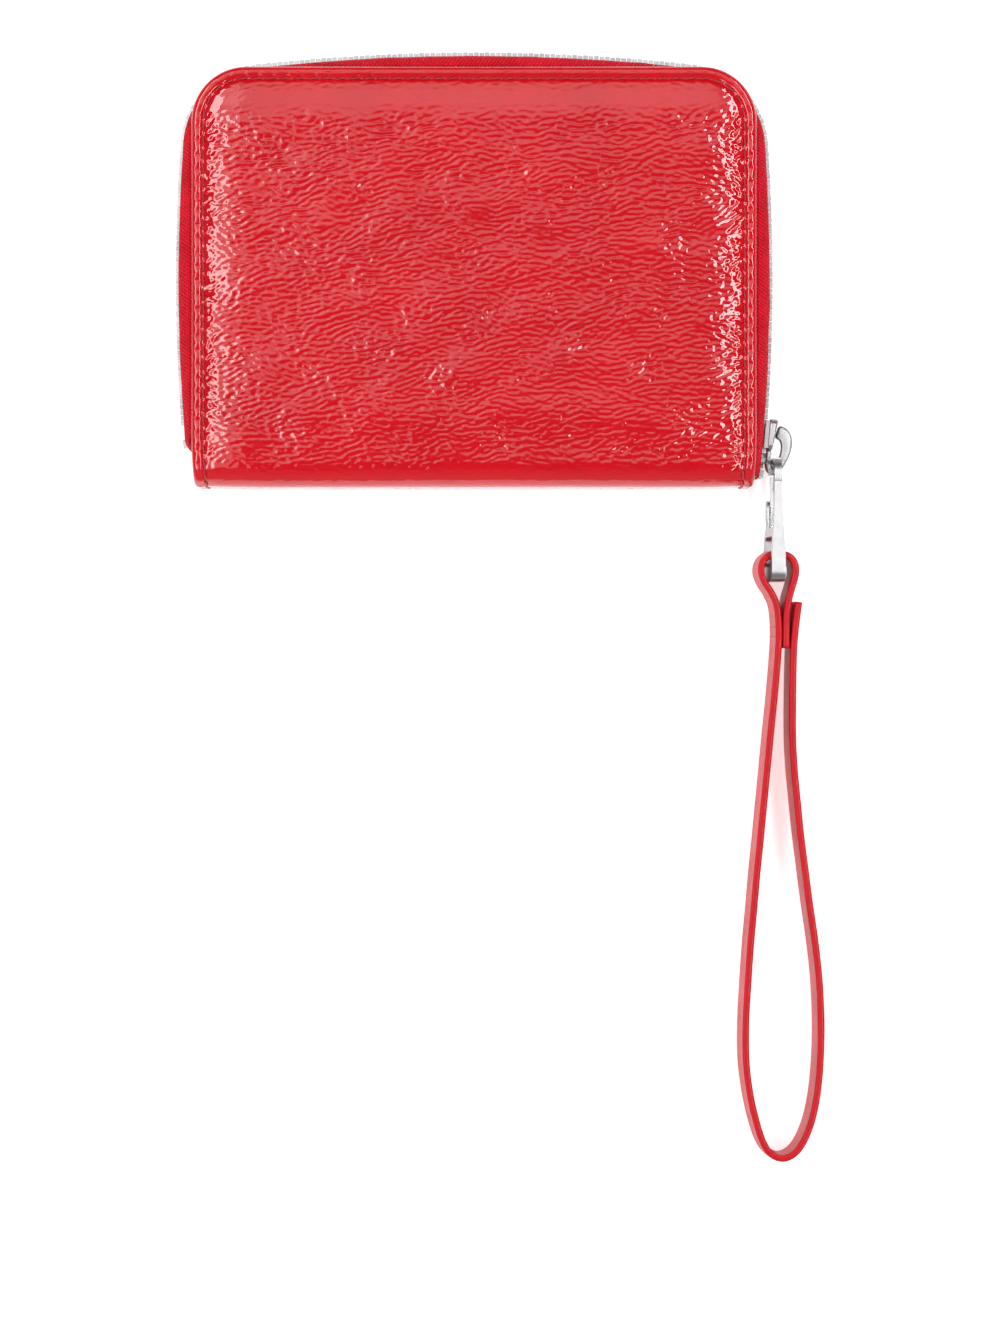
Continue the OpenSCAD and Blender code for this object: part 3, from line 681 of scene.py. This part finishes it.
def edge_profile(d, crown):
    """The padded skin's height over its inset d from the edge, in mm."""
    table_d = [0.0, 0.8, 1.5, 2.0, 2.4, 2.75, 3.4, 5.0, 7.5, 10.5, 14.0, 60.0]
    rise = crown - GROOVE
    table_h = [
        -0.16, -0.13, -0.12, -0.20, GROOVE, GROOVE + 0.20 * rise, GROOVE + 0.36 * rise,
        GROOVE + 0.62 * rise, GROOVE + 0.84 * rise, GROOVE + 0.96 * rise, crown, crown,
    ]
    fine = np.arange(0, 20, 0.05)
    kernel = np.hanning(13) / np.hanning(13).sum()
    height = np.convolve(np.pad(np.interp(fine, table_d, table_h), 6, "edge"), kernel, "valid")
    round_r = 0.9
    near = np.clip(round_r - d, 0, round_r)
    return np.interp(d, fine, height) - (round_r - np.sqrt(round_r ** 2 - near ** 2))


def skin_height(x, v, crown, crinkle):
    """(height over the plain skin, crease depth) with padding, stitch puckers and crinkle"""
    d = np.maximum(edge_inset(x, v), 0)
    flat = 1 - smoothstep(v, 68, FLAT_END + 2)
    groove_only = edge_profile(d, 0.0)
    height = groove_only + (edge_profile(d, crown) - groove_only) * flat
    phase = 2 * math.pi * along_edge(x, v) / STITCH_PITCH
    border = np.exp(-(((d - 1.4) / 0.75) ** 2))
    inside = np.exp(-(((d - 3.3) / 0.7) ** 2))
    line = np.exp(-(((d - STITCH_INSET) / 0.35) ** 2))
    pucker = np.cos(phase) * (0.25 + 0.75 * smoothstep(v, 6, 16))
    height += 0.09 * border * pucker + 0.05 * inside * pucker
    height -= 0.10 * line * (1 + np.cos(phase + math.pi))
    lift, lines = crinkle(x + 80, v + 10)
    roll = smoothstep(v, 77.5, 83)
    top_band = smoothstep(v, 7.5, 11) * 0.75 + 0.25
    amount = (1 - 0.75 * roll) * top_band * (0.35 + 0.65 * smoothstep(d, 2.2, 3.2))
    return height + lift * amount, lines * amount


def skin_frame(v):
    """(y, z, normal y, normal z) of the front skin's plain surface at v mm from its zipped edge"""
    turn = np.clip((v - FLAT_END) / ROLL_R, 0, math.pi / 2)
    y = TOP_Y - np.minimum(v, FLAT_END) - ROLL_R * np.sin(turn)
    z = WALLET_T - ROLL_R * (1 - np.cos(turn)) - np.maximum(v - ROLL_END, 0)
    return y, z, -np.sin(turn), np.cos(turn)


def skin_points(x, v, height):
    y, z, ny, nz = skin_frame(v)
    return np.column_stack([x, y + ny * height, z + nz * height])


def skin_rows():
    corner = CORNER_R * (1 - np.sin(np.linspace(math.pi / 2, 0, 52)))
    flat = np.arange(CORNER_R + 0.25, FLAT_END, 0.25)
    rest = np.linspace(FLAT_END, SKIN_END, 46)
    return np.concatenate([corner, flat, rest])


def skin_columns():
    """Shares of the half width, closer together near the edge."""
    inset = np.concatenate([[0, 0.08, 0.2, 0.36, 0.56, 0.8], np.arange(1.1, 5, 0.3)])
    edge = 1 - inset / (COVER_W / 2)
    middle = np.linspace(-edge[-1], edge[-1], 212)
    return np.concatenate([-edge[:-1], middle, edge[:-1][::-1]])


def build_skin(name, front, crown, seed):
    """A cover's outer leather with its half of the spine, as one closed turned-edge sheet."""
    v, u = skin_rows(), skin_columns()
    half = outline_half_width(v)
    rows, columns = len(v), len(u)
    grid_v = np.repeat(v, columns)
    grid_x = (half[:, None] * u[None, :]).ravel()
    height, crease = skin_height(grid_x, grid_v, crown, Crinkle(seed))
    points = skin_points(grid_x, grid_v, height)
    faces = grid_faces(rows, columns, flip=True)

    # the rim and the inner face, on every eighth column
    kept = list(range(0, columns - 1, 8)) + [columns - 1]
    rim_start = len(points)
    rim_index = {}
    extra = []

    def rim(i, k):
        if (i, k) not in rim_index:
            rim_index[(i, k)] = rim_start + len(extra)
            extra.append(skin_points(half[i:i + 1] * u[k], v[i:i + 1], np.array([RIM_DEPTH]))[0])
        return rim_index[(i, k)]

    for i in range(rows):
        rim(i, 0)
        rim(i, columns - 1)
    for k in range(columns):
        rim(0, k)
    inner_start = rim_start + len(extra)
    inner_x = np.array([(abs(half[i]) - 0.4) * u[k] for i in range(rows) for k in kept])
    inner_v = np.array([max(v[i], 0.35) for i in range(rows) for k in kept])
    hem = edge_inset(inner_x, inner_v) < HEM_REACH
    depth = np.where(hem & (inner_v < FLAT_END), -(LEATHER_T + HEM_T), -LEATHER_T)
    inner = skin_points(inner_x, inner_v, depth)
    m = len(kept)
    at = lambda i, j: inner_start + i * m + j
    faces += grid_faces(rows, m, start=inner_start)
    for i in range(rows - 1):
        for k, j, turn in ((0, 0, 1), (columns - 1, m - 1, -1)):
            outer = [i * columns + k, (i + 1) * columns + k]
            faces.append([*outer, rim(i + 1, k), rim(i, k)][::turn])
            faces.append([rim(i, k), rim(i + 1, k), at(i + 1, j), at(i, j)][::turn])
    for k in range(columns - 1):
        faces.append([k, rim(0, k), rim(0, k + 1), k + 1])
    last = (rows - 1) * columns
    for j in range(m - 1):
        span = range(kept[j], kept[j + 1] + 1)
        faces.append([rim(0, k) for k in span] + [at(0, j + 1), at(0, j)])
        bottom = [last + k for k in span] + [at(rows - 1, j + 1), at(rows - 1, j)]
        if j == 0:
            bottom.append(rim(rows - 1, 0))
        if j == m - 2:
            bottom.insert(len(span), rim(rows - 1, columns - 1))
        faces.append(bottom[::-1])
    points = np.vstack([points, np.array(extra), inner])
    crease = np.concatenate([crease, np.zeros(len(points) - len(crease))])
    if not front:
        points[:, 2] = WALLET_T - points[:, 2]
        faces = [f[::-1] for f in faces]
    uv = np.column_stack([points[:, 0], points[:, 1]])
    obj = make_mesh(name, points, faces, uv=uv, attributes={"crease": crease})
    sharpen(obj, range(last, last + columns))
    return obj


def blend_half(obj):
    """Bakes the piece's transform into its mesh."""
    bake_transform(obj)


def stitch_spot(s):
    """(x, v) on the stitch line, s mm from the middle of the zipped edge"""
    r, cx = CORNER_R - STITCH_INSET, COVER_W / 2 - CORNER_R
    if s < cx:
        return s, STITCH_INSET
    if s < cx + r * math.pi / 2:
        a = (s - cx) / r
        return cx + r * math.sin(a), CORNER_R - r * math.cos(a)
    v = CORNER_R + s - cx - r * math.pi / 2
    return outline_half_width(np.array([v]))[0] - STITCH_INSET, v


def cover_stitch_places(front):
    """Places along the stitch line, from the middle of the zipped edge to the spine's middle."""
    total = along_edge(np.array([COVER_W / 2]), np.array([SKIN_END]))[0]
    out = []
    for sign in (-1, 1):
        for i in range(int(total / STITCH_PITCH)):
            s = (i + 0.5) * STITCH_PITCH
            (x, v), (next_x, next_v) = stitch_spot(s), stitch_spot(s + 0.4)
            x, next_x = np.array([sign * x]), np.array([sign * next_x])
            here = skin_points(x, np.array([v]), np.array([STITCH_LEVEL]))[0]
            there = skin_points(next_x, np.array([next_v]), np.array([STITCH_LEVEL]))[0]
            _, _, ny, nz = skin_frame(np.array([v]))
            point, along, normal = here, there - here, np.array([0, ny[0], nz[0]])
            slant = np.cross(normal, along / np.linalg.norm(along)) * STITCH_SLANT
            along = along / np.linalg.norm(along) + slant
            if not front:
                point = point * (1, 1, -1) + (0, 0, WALLET_T)
                along, normal = along * (1, 1, -1), normal * (1, 1, -1)
            out.append((point, along, normal))
    return out


def build_cover(side, front, crown, seed, replaced):
    skin = build_skin(f"{side}_skin", front, crown, seed)
    place(skin, None, PATENT, replaced)
    blend_half(skin)
    thread = build_stitches(f"{side}_thread", cover_stitch_places(front), run=2.3, radius=0.23)
    place(thread, None, THREAD, [f"{side}_stitching"])
    blend_half(thread)


build_cover("front", True, 0.55, 11, ["front_leather", "spine_leather"])
build_cover("back", False, 0.0, 31, ["back_leather"])


# ---------------------------------------------------------------- zip tapes

def corner_centre():
    a = np.array([CHAIN_X - BOW_R, 0.0])
    b = np.array([0.0, CHAIN_Y - BOW_R])
    r = BOW_R - CHAIN_CORNER_R
    d = np.linalg.norm(b - a)
    along = (b - a) / d
    return a + along * d / 2 + np.array([-along[1], along[0]]) * math.sqrt(r * r - d * d / 4)


def chain_arcs():
    """The chain's middle line as arcs: (centre x, centre y, radius, first and last angle)."""
    bow_x, bow_y = CHAIN_X - BOW_R, CHAIN_Y - BOW_R
    cx, cy = corner_centre()
    side_end = math.degrees(math.atan2(cy, cx - bow_x))
    top_start = math.degrees(math.atan2(cy - bow_y, cx))
    right_low = -math.degrees(math.asin(38.4 / BOW_R))
    left_low = -math.degrees(math.asin(32.5 / BOW_R))

    def tuck(low, side, radius, turn):
        r = BOW_R - radius
        x = side * (bow_x + r * math.cos(math.radians(low)))
        y = r * math.sin(math.radians(low))
        if side > 0:
            return x, y, radius, low - turn, low
        return x, y, radius, 180 - low, 180 - low + turn

    return [
        tuck(right_low, 1, 6, 15),
        (bow_x, 0, BOW_R, right_low, side_end),
        (cx, cy, CHAIN_CORNER_R, side_end, top_start),
        (0, bow_y, BOW_R, top_start, 180 - top_start),
        (-cx, cy, CHAIN_CORNER_R, 180 - top_start, 180 - side_end),
        (-bow_x, 0, BOW_R, 180 - side_end, 180 - left_low),
        tuck(left_low, -1, 3, 60),
    ]


def chain_samples(step):
    """(x, y, outward angle, length so far, arc radius) along the chain, about step apart"""
    out, so_far = [], 0.0
    for cx, cy, r, first, last in chain_arcs():
        length = r * math.radians(last - first)
        n = max(2, int(length / step))
        for i in range(n):
            a = math.radians(first + (last - first) * i / n)
            out.append((cx + r * math.cos(a), cy + r * math.sin(a), a, so_far + length * i / n, r))
        so_far += length
    a = math.radians(last)
    out.append((cx + r * math.cos(a), cy + r * math.sin(a), a, so_far, r))
    return np.array(out)


FLANGE_W, TIGHT_R = 7.4, 8


def tape_section():
    """The tape's middle line from its sewn flange over the shoulder to its beaded edge, with
    half thicknesses: (distance outside the chain, height below the cover's inner leather, half)."""
    shoulder = 2.0
    flange = [(-FLANGE_W, 17.9, 0.24), (-5.5, 17.9, 0.26), (-3.6, 17.9, 0.27)]
    bend = [
        (-shoulder * (1 - math.sin(a)), 17.9 - shoulder * (1 - math.cos(a)), 0.27)
        for a in np.linspace(0, math.pi / 2, 9)
    ]
    wall = [(0, z, 0.27) for z in (15.2, 14.4, 13.6, 12.8, 12.1, 11.7)]
    bead = [(0, 11.4, 0.34), (0, 11.1, 0.36), (0, 10.95, 0.26)]
    return flange + bend + wall + bead


def build_tape(side, front):
    section = np.array(tape_section())
    out = -side_of(section[:, :2])
    out *= np.where((out @ [0.3, 1.0])[:, None] < 0, -1, 1)
    upper = section[:, :2] + out * section[:, 2:]
    lower = section[:, :2] - out * section[:, 2:]
    loop = np.vstack([upper, lower[::-1]])
    across = run_along(section[:, :2])
    across = np.concatenate([across, across[::-1]])
    samples = chain_samples(0.9)
    wave = noise_field(5 if front else 6, 9, width=0.6)
    points, uv = [], []
    for x, y, a, s, r in samples:
        fold = float(sample(wave, s, 3.0))
        # a tight turn at the chain's end has no room for the whole flange
        reach = 0.8 * min(r, FLANGE_W) / FLANGE_W if r < TIGHT_R else 1
        n = np.where(loop[:, 0] < 0, loop[:, 0] * reach, loop[:, 0])
        sag = 0.10 * fold * smoothstep(17.6 - loop[:, 1], 0.5, 4) * smoothstep(loop[:, 1], 10.9, 13)
        n = n + sag - 0.5 * max(math.sin(a), 0) * smoothstep(loop[:, 1], 11.5, 15)
        z = loop[:, 1] if front else WALLET_T - loop[:, 1]
        points += list(np.column_stack([x + n * math.cos(a), y + n * math.sin(a), z]))
        uv += [(s, c) for c in across]
    obj = make_mesh(f"{side}_tape", points, tube_faces(len(samples), len(loop), front), uv=uv)
    place(obj, f"{side}_half", TAPE, [f"{side}_zip_tape"])


build_tape("front", True)
build_tape("back", False)


# ---------------------------------------------------------------- flat soft pieces inside

def build_panel(name, x_half, y_low, y_high, z_low, z_high, corner=1.5, wave=0.08, seed=1,
                step=1.6, edge=0.25, top_roll=0.0, face_up=True):
    """A flat soft sheet with round edges and a slightly uneven face. top_roll thickens its
    upper edge as a turned edge does."""
    def spaced(low, high):
        margin = min(1.2, (high - low) / 3)
        inner = np.linspace(low + margin, high - margin, max(3, int((high - low) / step)))
        return np.concatenate([
            [low, low + 0.08, low + 0.25, low + 0.6], inner, [high - 0.6, high - 0.25, high - 0.08, high]
        ])

    ys = spaced(y_low, y_high)
    us = spaced(-x_half, x_half) / x_half
    field = coarse_noise(seed, 17)
    top, bottom = [], []
    for y in ys:
        to_end = min(y - y_low, y_high - y)
        cut = corner - math.sqrt(max(corner ** 2 - max(corner - to_end, 0) ** 2, 0))
        x = us * (x_half - cut)
        inset = np.minimum(x_half - cut - np.abs(x), to_end)
        near = np.clip(edge - inset, 0, edge)
        round_off = edge - np.sqrt(edge ** 2 - near ** 2)
        uneven = wave * sample(field, x + 90, y + 60, COARSE) * smoothstep(inset, 1, 6)
        bead = top_roll * smoothstep(y, y_high - 2.6, y_high - 2.0)
        lift = uneven + bead - round_off
        drop = round_off
        if face_up:
            zt, zb = z_high + lift, z_low + drop
        else:
            zt, zb = z_high - drop, z_low - lift
        top += list(np.column_stack([x, np.full_like(x, y), zt]))
        bottom += list(np.column_stack([x, np.full_like(x, y), zb]))
    points = np.array(top + bottom)
    faces = closed_sheet_faces(len(ys), len(us))
    no_creases = np.zeros(len(points))
    return make_mesh(name, points, faces, uv=points[:, :2], attributes={"crease": no_creases})


def node_box(name):
    low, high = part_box(name)
    return [c / MM for c in low], [c / MM for c in high]


def panel_for(name, node, body, slot_name, material, **kw):
    """A soft sheet in the place of a flat CAD node."""
    low, high = node_box(node)
    obj = build_panel(name, high[0], low[1], high[1], low[2], high[2], **kw)
    place(obj, body, material, [node])


panel_for("back_lining_cloth", "back_lining", "back_half", "lining", LINING,
          corner=8.8, wave=0.10, seed=41)
panel_for("front_lining_cloth", "front_lining", "front_half", "lining", LINING,
          corner=8.8, wave=0.10, seed=42, face_up=False)
panel_for("coin_front", "coin_panel", "back_half", "inner_leather", INNER, wave=0.16, seed=43)
panel_for("coin_top", "coin_flap", "back_half", "inner_leather", INNER, wave=0.08, seed=44)
panel_for("coin_tape_low", "coin_tape_lower", "back_half", "zip_tape", TAPE,
          corner=0.3, edge=0.15, wave=0.02, seed=45)
panel_for("coin_tape_high", "coin_tape_upper", "back_half", "zip_tape", TAPE,
          corner=0.3, edge=0.15, wave=0.02, seed=46)
HEM_W = 3.0


def build_bill_pocket():
    """The banknote pocket's wall, on hems at both sides and below that hold it off the lining."""
    low, high = node_box("bill_panel")
    slot_low, slot_high = node_box("card_slot_1")
    back = low[2] + slot_high[2] - slot_low[2]
    wall = build_panel(
        "bill_divider", high[0], low[1], high[1], low[2], back, wave=0.10, seed=47, face_up=False
    )
    place(wall, "front_half", LINING, ["bill_panel"])
    shape = {"z_low": back, "z_high": high[2], "corner": 0.4, "wave": 0.02}
    hems = [build_panel("bill_hem", high[0], low[1], low[1] + HEM_W, **shape)]
    for name, side in (("bill_hem_left", -1), ("bill_hem_right", 1)):
        hem = build_panel(name, HEM_W / 2, low[1] + HEM_W, high[1], **shape)
        hem.data.transform(Matrix.Translation((side * (high[0] - HEM_W / 2) * MM, 0, 0)))
        hems.append(hem)
    for hem in hems:
        place(hem, "front_half", LINING)


build_bill_pocket()
for n in (1, 2, 3, 4):
    panel_for(f"card_pocket_{n}", f"card_slot_{n}", "front_half", "inner_leather", INNER, corner=2.0,
              wave=0.05, seed=50 + n, top_roll=0.18, face_up=False)


def build_gusset():
    """The coin pocket's gusset: a ring wall folded once inwards, like a bellows."""
    low, high = node_box("coin_gusset")
    section = [
        (0.0, 0.0), (0.25, -0.1), (0.7, 0.9), (1.35, 1.8), (0.7, 2.7), (0.25, 3.7), (0.0, 3.6),
        (-0.25, 3.4), (0.15, 2.5), (0.65, 1.8), (0.15, 1.1), (-0.25, 0.2),
    ]
    r = 3.0
    path = []
    for cx, cy, first in [(1, 1, 0), (-1, 1, 90), (-1, -1, 180), (1, -1, 270)]:
        x0 = (high[0] - 0.4 - r) * cx
        y0 = (high[1] - 0.4 - r if cy > 0 else low[1] + 0.4 + r)
        for i in range(7):
            a = math.radians(first + 15 * i)
            path.append((x0 + r * math.cos(a), y0 + r * math.sin(a), a))
    dense = []
    for p, q in zip(path, path[1:] + path[:1]):
        gap = math.dist(p[:2], q[:2])
        n = max(1, int(gap / 2))
        dq = (q[2] - p[2] + math.pi) % (2 * math.pi) - math.pi
        step = np.array([q[0] - p[0], q[1] - p[1], dq])
        dense += [tuple(np.array(p) + step * i / n) for i in range(n)]
    points, uv, s = [], [], 0.0
    for i, (x, y, a) in enumerate(dense):
        s += math.dist(dense[i - 1][:2], (x, y)) if i else 0
        for inward, z in section:
            points.append((x - inward * math.cos(a), y - inward * math.sin(a), low[2] + 0.1 + z * 0.95))
            uv.append((s, z))
    faces = grid_faces(len(dense), len(section), 0, True, close_rows=True, close_columns=True)
    obj = make_mesh("coin_bellows", points, faces, uv=uv)
    place(obj, "back_half", LINING, ["coin_gusset"])


build_gusset()


CLOTH_LAP, CLOTH_T, CLOTH_DEPTH = 4.5, 0.4, 1.8


def build_spine_lining(side, front):
    """The cloth inside a rolled corner, from its cover's lining to the middle of the spine."""
    v = np.linspace(FLAT_END - CLOTH_LAP, SKIN_END, 34)
    x = np.linspace(-SPINE_W / 2 + 1, SPINE_W / 2 - 1, 57)
    deep = 2.75 - 1.15 * smoothstep(v, FLAT_END - CLOTH_LAP, FLAT_END + 1)
    wave = coarse_noise(61 if front else 62, 12)
    points = []
    for thick in (0.0, CLOTH_T):
        for vi, di in zip(v, deep):
            uneven = 0.06 * sample(wave, x + 70, vi + 5, COARSE)
            points += list(skin_points(x, np.full_like(x, vi), -(di + thick) - uneven))
    points = np.array(points)
    uv = np.column_stack([points[:, 0], np.tile(np.repeat(v, len(x)), 2)])
    if not front:
        points[:, 2] = WALLET_T - points[:, 2]
    obj = make_mesh(f"{side}_spine_cloth", points, closed_sheet_faces(len(v), len(x), front), uv=uv)
    place(obj, None, LINING, ["spine_lining"] if front else [])
    blend_half(obj)


build_spine_lining("front", True)
build_spine_lining("back", False)


def row_places(a, b, z, up):
    """Stitch places along a straight run from a to b at height z."""
    a, b = np.array(a, float), np.array(b, float)
    n = int(np.linalg.norm(b - a) / STITCH_PITCH)
    along = (b - a) / np.linalg.norm(b - a)
    slant = np.array([-along[1], along[0]]) * STITCH_SLANT
    for i in range(n):
        p = a + (b - a) * (i + 0.5) / n
        yield ((p[0], p[1], z), (*(along + slant), 0), (0, 0, up))


def build_inner_stitches():
    low, high = node_box("coin_stitching")
    z = node_box("coin_panel")[1][2] + 0.04
    x = high[0] - 0.24
    zip_y = 23
    places = []
    for y in (low[1] + 0.24, high[1] - 0.24):
        places += row_places((2 - x, y), (x - 2, y), z, 1)
    for side in (-x, x):
        places += row_places((side, low[1] + 2), (side, zip_y - 4), z, 1)
        places += row_places((side, zip_y + 4), (side, high[1] - 2), z, 1)
    coin_thread = build_stitches("coin_thread", places, radius=0.2)
    place(coin_thread, "back_half", THREAD, ["coin_stitching"])

    low, high = node_box("card_slot_4")
    z = low[2] - 0.04
    x = high[0] - 1.2
    places = list(row_places((2 - x, low[1] + 1.2), (x - 2, low[1] + 1.2), z, -1))
    for side in (-x, x):
        places += row_places((side, low[1] + 2), (side, high[1] - 2), z, -1)
    card_thread = build_stitches("card_thread", places, radius=0.2)
    place(card_thread, "front_half", THREAD, ["card_stitching"])


build_inner_stitches()


# ---------------------------------------------------------------- metal

def dress(node, material, bevel=0.0, segments=3):
    """Gives a CAD node its finish and eased edges."""
    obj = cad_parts[node]
    obj.data.materials.clear()
    obj.data.materials.append(material)
    if bevel:
        ease = obj.modifiers.new("ease", "BEVEL")
        ease.width = bevel * MM
        ease.segments = segments
        ease.limit_method = "ANGLE"
        ease.angle_limit = math.radians(35)
        obj.modifiers.new("flats", "WEIGHTED_NORMAL").keep_sharp = True
    return obj


for name in ("back_zip_teeth", "front_zip_teeth", "coin_teeth_lower", "coin_teeth_upper"):
    dress(name, ZIP_METAL, 0.22)
for name in ("zip_bottom_stop", "back_top_stop", "front_top_stop", "coin_zip_stops"):
    dress(name, ZIP_METAL, 0.3)
for name in ("coin_slider", "coin_pull"):
    dress(name, POLISHED, 0.18)
for name in ("clasp_hook", "clasp_gate"):
    dress(name, SATIN, 0.18)
for name in ("clasp_pin", "clasp_rivet", "clasp_spring"):
    dress(name, POLISHED, 0.08)
for name in ("back_board", "front_board"):
    dress(name, BOARD, 0.2)


def bevelled_prism(outline, low, high, bevel, steps=4):
    """A closed outline in (a, b) raised from low to high, its rims rounded: points, faces."""
    flat = np.asarray(outline, float)
    way = np.roll(flat, -1, axis=0) - np.roll(flat, 1, axis=0)
    way /= np.linalg.norm(way, axis=1)[:, None]
    inward = np.column_stack([-way[:, 1], way[:, 0]])
    angles = np.radians(np.linspace(0, 90, steps + 1))
    rings = [(bevel * (1 - math.sin(a)), low + bevel * (1 - math.cos(a))) for a in angles]
    rings += [(inset, low + high - h) for inset, h in rings[::-1]]
    points = [np.column_stack([flat + inward * inset, np.full(len(flat), h)]) for inset, h in rings]
    return np.vstack(points), tube_faces(len(rings), len(flat))


def swept_band(line, widths, thick, radius, step=0.25):
    """A bar along line with round rims and ends, which tapers between widths: points, faces."""
    middle = smooth_line(line, step)
    side, run = side_of(middle), run_along(middle)
    wide = np.interp(run / run[-1], np.linspace(0, 1, len(widths)), widths)
    to_end = np.minimum(np.minimum(run, run[-1] - run) / radius, 1)
    shrink = 2 * radius * (1 - np.sqrt(1 - (1 - to_end) ** 2))
    points = []
    for centre, out, width, less in zip(middle, side, wide, shrink):
        for across, through in rounded_section(width - less, thick - less, radius * 0.9, 4):
            points.append((*(centre + out * across), through))
    n = len(points) // len(middle)
    return np.array(points), tube_faces(len(middle), n)


def rounded_outline(low, high, radius):
    """A rectangle between two corners with round corners, counter-clockwise."""
    (x0, y0), (x1, y1) = low, high
    shape = rounded_section(x1 - x0, y1 - y0, radius, 5)
    return [((x0 + x1) / 2 + x, (y0 + y1) / 2 + y) for x, y in shape]


# The crown in the slider's frame: from the nose, out and up to its open tip beside the plate
CROWN = [
    (3.0, 1.9), (4.5, 2.0), (5.5, 2.7), (5.2, 3.7), (3.6, 4.5), (1.8, 5.1), (0.1, 5.3),
    (-1.4, 5.0), (-2.3, 4.2), (-2.6, 3.1),
]
CROWN_WIDTHS = [1.3, 1.3, 1.4, 1.5, 1.7, 1.9, 2.1, 2.4, 2.7, 2.8]
CROWN_T = 3.2


def build_slider():
    """The main slider, in its own frame: u down the chain, v out of the wallet, w up."""
    turn = math.asin(SLIDER_DROP / BOW_R)
    centre = np.array([CHAIN_X - BOW_R + BOW_R * math.cos(turn), -SLIDER_DROP, MID_Z])
    frame_uvw = np.array([
        [-math.sin(turn), -math.cos(turn), 0], [math.cos(turn), -math.sin(turn), 0], [0, 0, 1],
    ])
    points, faces = [], []

    def add(shape, order):
        start = sum(len(p) for p in points)
        own, own_faces = shape
        points.append(centre + np.column_stack([own[:, k] for k in order]) @ frame_uvw)
        faces.extend([[start + i for i in f] for f in own_faces])

    def lean(shape, near, far):
        """Thickens the plate towards the end where it stands further out."""
        own, own_faces = shape
        share = np.clip((own[:, 0] + 5.0) / 6.2, 0, 1)
        own[:, 2] = PLATE_GAP + (own[:, 2] - PLATE_GAP) * (near + (far - near) * share)
        return own, own_faces

    outer = bevelled_prism(
        rounded_outline((-5.0, -4.1), (1.2, 4.1), 1.2), PLATE_GAP, PLATE_GAP + 1, 0.28
    )
    add(lean(outer, 1.75, 0.95), (0, 2, 1))
    nose = bevelled_prism(
        rounded_outline((0.6, -2.7), (4.2, 2.7), 1.3), PLATE_GAP, PLATE_GAP + 0.8, 0.2
    )
    add(nose, (0, 2, 1))
    inner = bevelled_prism(
        rounded_outline((-5.4, -4.1), (4.2, 4.1), 1.5), -PLATE_GAP - 1, -PLATE_GAP, 0.25
    )
    add(inner, (0, 2, 1))
    for w in (-3.9, 3.3):
        for side in (-1, 1):
            far = 3.2 if side < 0 else 1.0
            low, high = sorted((side * 0.55, side * (PLATE_GAP + 0.2)))
            lip = bevelled_prism(rounded_outline((-4.6, low), (far, high), 0.2), w, w + 0.6, 0.12)
            add(lip, (0, 1, 2))
    post = bevelled_prism(
        rounded_outline((1.9, -PLATE_GAP - 0.1), (4.0, PLATE_GAP + 0.1), 0.3), -0.7, 0.7, 0.1
    )
    add(post, (0, 1, 2))
    add(swept_band(CROWN, CROWN_WIDTHS, CROWN_T, 0.5), (0, 1, 2))
    slider = make_mesh("slider_body", np.vstack(points), faces)
    slider.modifiers.new("flats", "WEIGHTED_NORMAL").keep_sharp = True
    place(slider, "slider", SATIN, ["zip_slider"])


build_slider()
